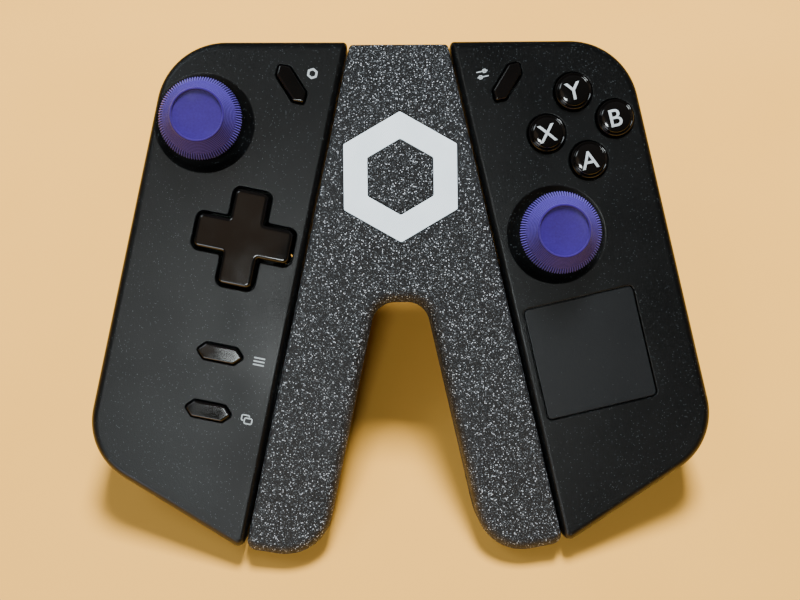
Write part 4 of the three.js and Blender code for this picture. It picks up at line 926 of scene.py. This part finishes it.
for sign in "abxy":
    node = f"right_button_{sign}"
    low, high = span("right", node)
    x, y = middle("right", node).to_2d()
    ledge = low.z + FLANGE
    flanged = [(FLANGE_RADIUS, low.z), (FLANGE_RADIUS, ledge), (BUTTON_RADIUS, ledge), (BUTTON_RADIUS, 0)]
    body = carve(dome(x, y), turned_solid(x, y, flanged, 72), how="UNION")
    print_shell = carve(letter(sign.upper(), x, y), dome(x, y, 0.02), how="INTERSECT")
    carve(print_shell, dome(x, y, -0.02, foot=-0.4))
    settle(body, f"{node}_dome", "right", gloss, node, "button_black", node, sharp=40)
    settle(print_shell, f"{node}_letter", "right", letter_ink, node, "inlay_white")

# ---------------------------------------------------------------- trackpad
# A square glass-fibre pad with a satin painted top, sunk a hair below the face in a thin groove.
# Satin paint, smoother than the cases'.
satin = painted("satin_black_pad", "17191a", 0.4, 0.006, 0.01)
low, high = span("right", "right_trackpad")
x, y = middle("right", "right_trackpad").to_2d()
pad_plate = plate(square(x, y, high.x - low.x, high.y - low.y, 1.2), low.z, high.z, top=0.18, steps=4)
settle(pad_plate, "track_pad_top", "right", satin, "right_controller", "pad_black", "right_trackpad")

# ---------------------------------------------------------------- shoulder buttons
# Each bumper is a painted plastic strip that follows the case's top corner; each trigger below it
# is a curved lever of grained plastic with finger ridges, turning on a steel pin.
def curve_points(points, steps):
    """Points along a cubic Bezier curve."""
    made = []
    for k in range(steps + 1):
        t = k / steps
        weights = ((1 - t) ** 3, 3 * t * (1 - t) ** 2, 3 * t * t * (1 - t), t ** 3)
        made.append(sum((Vector(point) * w for point, w in zip(points, weights)), Vector((0, 0))))
    return made


def trigger_lever():
    """The lever's side view, pushed along its pin."""
    pin, near, far = TRIGGER_PIN, TRIGGER_HIGH.y, TRIGGER_LOW.y
    crown, tip = -BODY_DEPTH - 16.5, TRIGGER_LOW.z
    front = [(near, -BODY_DEPTH - 2.8), (near, crown * 0.86), (pin.y + 1.5, crown), (far, tip)]
    back = [(far, tip + 3), (pin.y - 9, crown + 3), (pin.y - 6, pin.z - 3), (pin.y - 3.2, pin.z + 2)]
    outer = curve_points(front, 28)
    ring = outer + curve_points(back, 24)
    lever = eased(along_x(loft([(TRIGGER_LOW.x, ring), (TRIGGER_HIGH.x, ring)])), 0.6, 4)
    groove_ends = TRIGGER_LOW.x + 3, TRIGGER_HIGH.x - 3
    grooves = [rod(*groove_ends, *point, 0.35, edge=0.3, count=16) for point in outer[9:20:2]]
    return carve(lever, *grooves, rod(-20, 60, pin.y, pin.z, PIN_BORE))


# Turned steel: scratched along its length, of the pins, screws, rails and axle.
steel, tree, shader, coords = surface("turned_steel", "9a9c9e", 0.3, {"Metallic": 1})
tint(tree, shader, blotches(tree, coords, 2.5, 0, 0.5), "7f8183")
tree.links.new(blotches(tree, coords, 0.8, 0.22, 0.42), shader.inputs["Roughness"])
brushed = add(tree, "ShaderNodeMapping", {"Vector": coords, "Scale": (40, 600, 600)})
scratches = add(tree, "ShaderNodeTexNoise", {"Vector": brushed.outputs[0], "Scale": 12, "Detail": 3})
relief(tree, shader, scratches.outputs["Fac"], 0.006, 0.5)
for hand in ("left", "right"):
    bumper, trigger, held = f"{hand}_bumper", f"{hand}_trigger", f"{hand}_trigger_pin"
    strip = eased(bumper_band(), 0.45, 4)
    settle(strip, f"{hand}_shoulder_bumper", hand, case_paint, bumper, "cover_black", bumper, sharp=40)
    settle(trigger_lever(), f"{hand}_trigger_lever", hand, grained, trigger, "cover_black", trigger, sharp=40)
    low, high = span(hand, held)
    pin = rod(low.x, high.x, TRIGGER_PIN.y, TRIGGER_PIN.z, (high.y - low.y) / 2 - 0.01, edge=0.25)
    settle(pin, f"{hand}_trigger_pivot_pin", hand, steel, f"{hand}_controller", "steel", held, sharp=50)

# ---------------------------------------------------------------- back buttons
# Long oval keys of satin plastic that stand 1.8 mm proud of the flat back, each with a shallow
# finger hollow: one releases the controller from the bridge, the others are for the fingers.
for hand, keys in BACK_BUTTONS.items():
    for node in keys:
        low, high = span(hand, node)
        x, y = middle(hand, node).to_2d()
        width, length = high.x - low.x, high.y - low.y
        key = plate(square(x, y, width, length, width / 2 - 0.15), low.z, high.z, bottom=0.7)
        hollow = [(r, low.z + 0.45 - (r / 5) ** 2 * 0.6) for r in (6, 5, 4, 3, 2, 1, 0.05)]
        scoop = turned_solid(x, y, [(6, low.z - 2), *hollow], 64)
        stretch = Matrix.Scale(1.35, 4, (0, 1, 0))
        scoop.data.transform(Matrix.Translation((0, y, 0)) @ stretch @ Matrix.Translation((0, -y, 0)))
        settle(carve(key, scoop), f"{node}_key", hand, satin, node, "cover_black", node, sharp=40)

# ---------------------------------------------------------------- screws
# Two six-lobed steel screws hold each case together, sunk in counterbores beside the bridge.
SCREW_HEAD = [(1.75, 0), (2.02, 0.06), (2.16, 0.22), (2.18, 0.5), (2.18, 1), (0.9, 1)]  # (radius, height)
for hand in ("left", "right"):
    for node in (f"{hand}_screw_upper", f"{hand}_screw_lower"):
        low, high = span(hand, node)
        x, y = middle(hand, node).to_2d()
        head = [(r, low.z + up) for r, up in SCREW_HEAD]
        screw = turned_solid(x, y, [*head, (0.9, high.z)], 64)
        turns = [2 * math.pi * k / 72 for k in range(72)]
        radii = [1.05 + 0.22 * math.cos(6 * a) for a in turns]
        lobes = [(x + r * math.cos(a), y + r * math.sin(a)) for r, a in zip(radii, turns)]
        socket = loft([(low.z - 1, lobes), (low.z + 0.62, lobes)])
        settle(carve(screw, socket), f"{node}_head", hand, steel, f"{hand}_controller", "steel", node, sharp=40)

# ---------------------------------------------------------------- scroll wheel
# A grey rubber tyre with 24 ribs on a steel axle, let into the right grip.
def wheel_tree():
    """Geometry Nodes: sets ribs round a wheel whose axle lies along X, and joins them to it."""
    kinds = {"Centre": "Vector", "Radius": "Float", "Ribs": "Int", "Rib Length": "Float", "Rib Size": "Float"}
    tree, given = node_group("wheel_ribs", kinds)
    upright = (0, math.pi / 2, 0)
    ring = add(tree, "GeometryNodeMeshCircle", {"Vertices": given["Ribs"], "Radius": given["Radius"]})
    placed = {"Geometry": ring.outputs[0], "Translation": given["Centre"], "Rotation": upright}
    points = add(tree, "GeometryNodeTransform", placed)
    rib = {0: given["Rib Length"], 1: given["Rib Size"], 2: given["Rib Size"]}
    size = add(tree, "ShaderNodeCombineXYZ", rib)
    bar = add(tree, "GeometryNodeMeshCylinder", {"Vertices": 12, "Radius": 0.5, "Depth": 1.0})
    laid = add(tree, "GeometryNodeTransform", {"Geometry": bar.outputs["Mesh"], "Rotation": upright})
    every = {"Points": points.outputs[0], "Instance": laid.outputs[0], "Scale": size.outputs[0]}
    ribs = add(tree, "GeometryNodeInstanceOnPoints", every)
    joined = tree.nodes.new("GeometryNodeJoinGeometry")
    tree.links.new(ribs.outputs[0], joined.inputs[0])
    tree.links.new(given["Geometry"], joined.inputs[0])
    return end_group(tree, joined.outputs[0], given["Material"])


# Grey rubber, dull and dusty.
tyre, tree, shader, coords = surface("grey_wheel_rubber", "3a3c40", 0.8)
tint(tree, shader, blotches(tree, coords, 0.9, 0, 0.5), "2e3034")
relief(tree, shader, blotches(tree, coords, 0.18, 0, 1), 0.02, 0.6)
low, high = span("right", "right_scroll_wheel")
wheel = (low + high) / 2
radius = (high.y - low.y) / 2
rim = [(low.x, radius - 1.1), (low.x + 0.35, radius - 0.55), (low.x + 0.8, radius - 0.45),
       (high.x - 0.8, radius - 0.45), (high.x - 0.35, radius - 0.55), (high.x, radius - 1.1)]
turns = [2 * math.pi * k / 96 for k in range(96)]
rings = [(x, [(wheel.y + r * math.cos(a), wheel.z + r * math.sin(a)) for a in turns]) for x, r in rim]
drum = along_x(loft(rings))
carve(drum, rod(low.x - 5, high.x + 5, wheel.y, wheel.z, AXLE_BORE))
drum = grow(drum, wheel_tree(), centre=tuple(wheel), radius=radius - 0.48, ribs=24,
            rib_length=high.x - low.x - 0.7, rib_size=0.9, material=tyre)
node = "right_scroll_wheel"
settle(drum, "scroll_wheel_tyre", "right", tyre, node, "rubber_grey", node, sharp=40)
low, high = span("right", "right_scroll_axle")
axle = rod(low.x, high.x, wheel.y, wheel.z, (high.y - low.y) / 2 - 0.01)
settle(axle, "scroll_wheel_axle", "right", steel, "right_controller", "steel", "right_scroll_axle", sharp=50)

# ---------------------------------------------------------------- rails and inside pieces
# What stays as the CAD draws it: the steel rails, and, closed in by the cases, the circuit boards,
# foil-wrapped batteries, vibration motors, stick sockets, rubber mats and the pad's pivot.
# Glass-fibre board under a dark mask that shows its tracks.
board, tree, shader, coords = surface("black_masked_circuit_board", "0a120e", 0.5)
grid = {"Vector": coords, "Scale": 1 / (3 * MM), "Mortar Size": 0.03}
tracks = add(tree, "ShaderNodeTexBrick", grid, offset=0.37)
tint(tree, shader, tracks.outputs["Fac"], "141f18")
relief(tree, shader, tracks.outputs["Fac"], 0.03, 0.6)
# Aluminium foil, creased round the cell.
foil, tree, shader, coords = surface("crinkled_battery_foil", "a2a5a8", 0.35, {"Metallic": 0.7})
tint(tree, shader, blotches(tree, coords, 6, 0, 0.4), "8b8e92")
relief(tree, shader, blotches(tree, coords, 1.5, 0, 1, 5), 0.12, 0.6)
# Grey silicone, soft and matt.
mat_rubber, tree, shader, coords = surface("silicone_mat", "43464a", 0.7)
tint(tree, shader, blotches(tree, coords, 2, 0, 0.4), "383b3f")
relief(tree, shader, blotches(tree, coords, 0.3, 0, 1), 0.02, 0.5)
# Steel sheet, pressed and dull.
pressed, tree, shader, coords = surface("pressed_steel", "8e9194", 0.38, {"Metallic": 1})
tint(tree, shader, blotches(tree, coords, 1.6, 0, 0.5), "74777a")
relief(tree, shader, blotches(tree, coords, 0.5, 0, 1), 0.01, 0.5)
KEPT = {"rail": steel, "circuit_board": board, "battery": foil, "vibration_motor": pressed,
        "stick_housing": pressed, "stick_yoke": socket_black, "button_mat": mat_rubber, "dpad_pivot": pressed}
for name, node in frame["nodes"].items():
    kind = name.split("_", 1)[1]
    if kind in KEPT:
        node.data.materials.clear()
        node.data.materials.append(KEPT[kind])
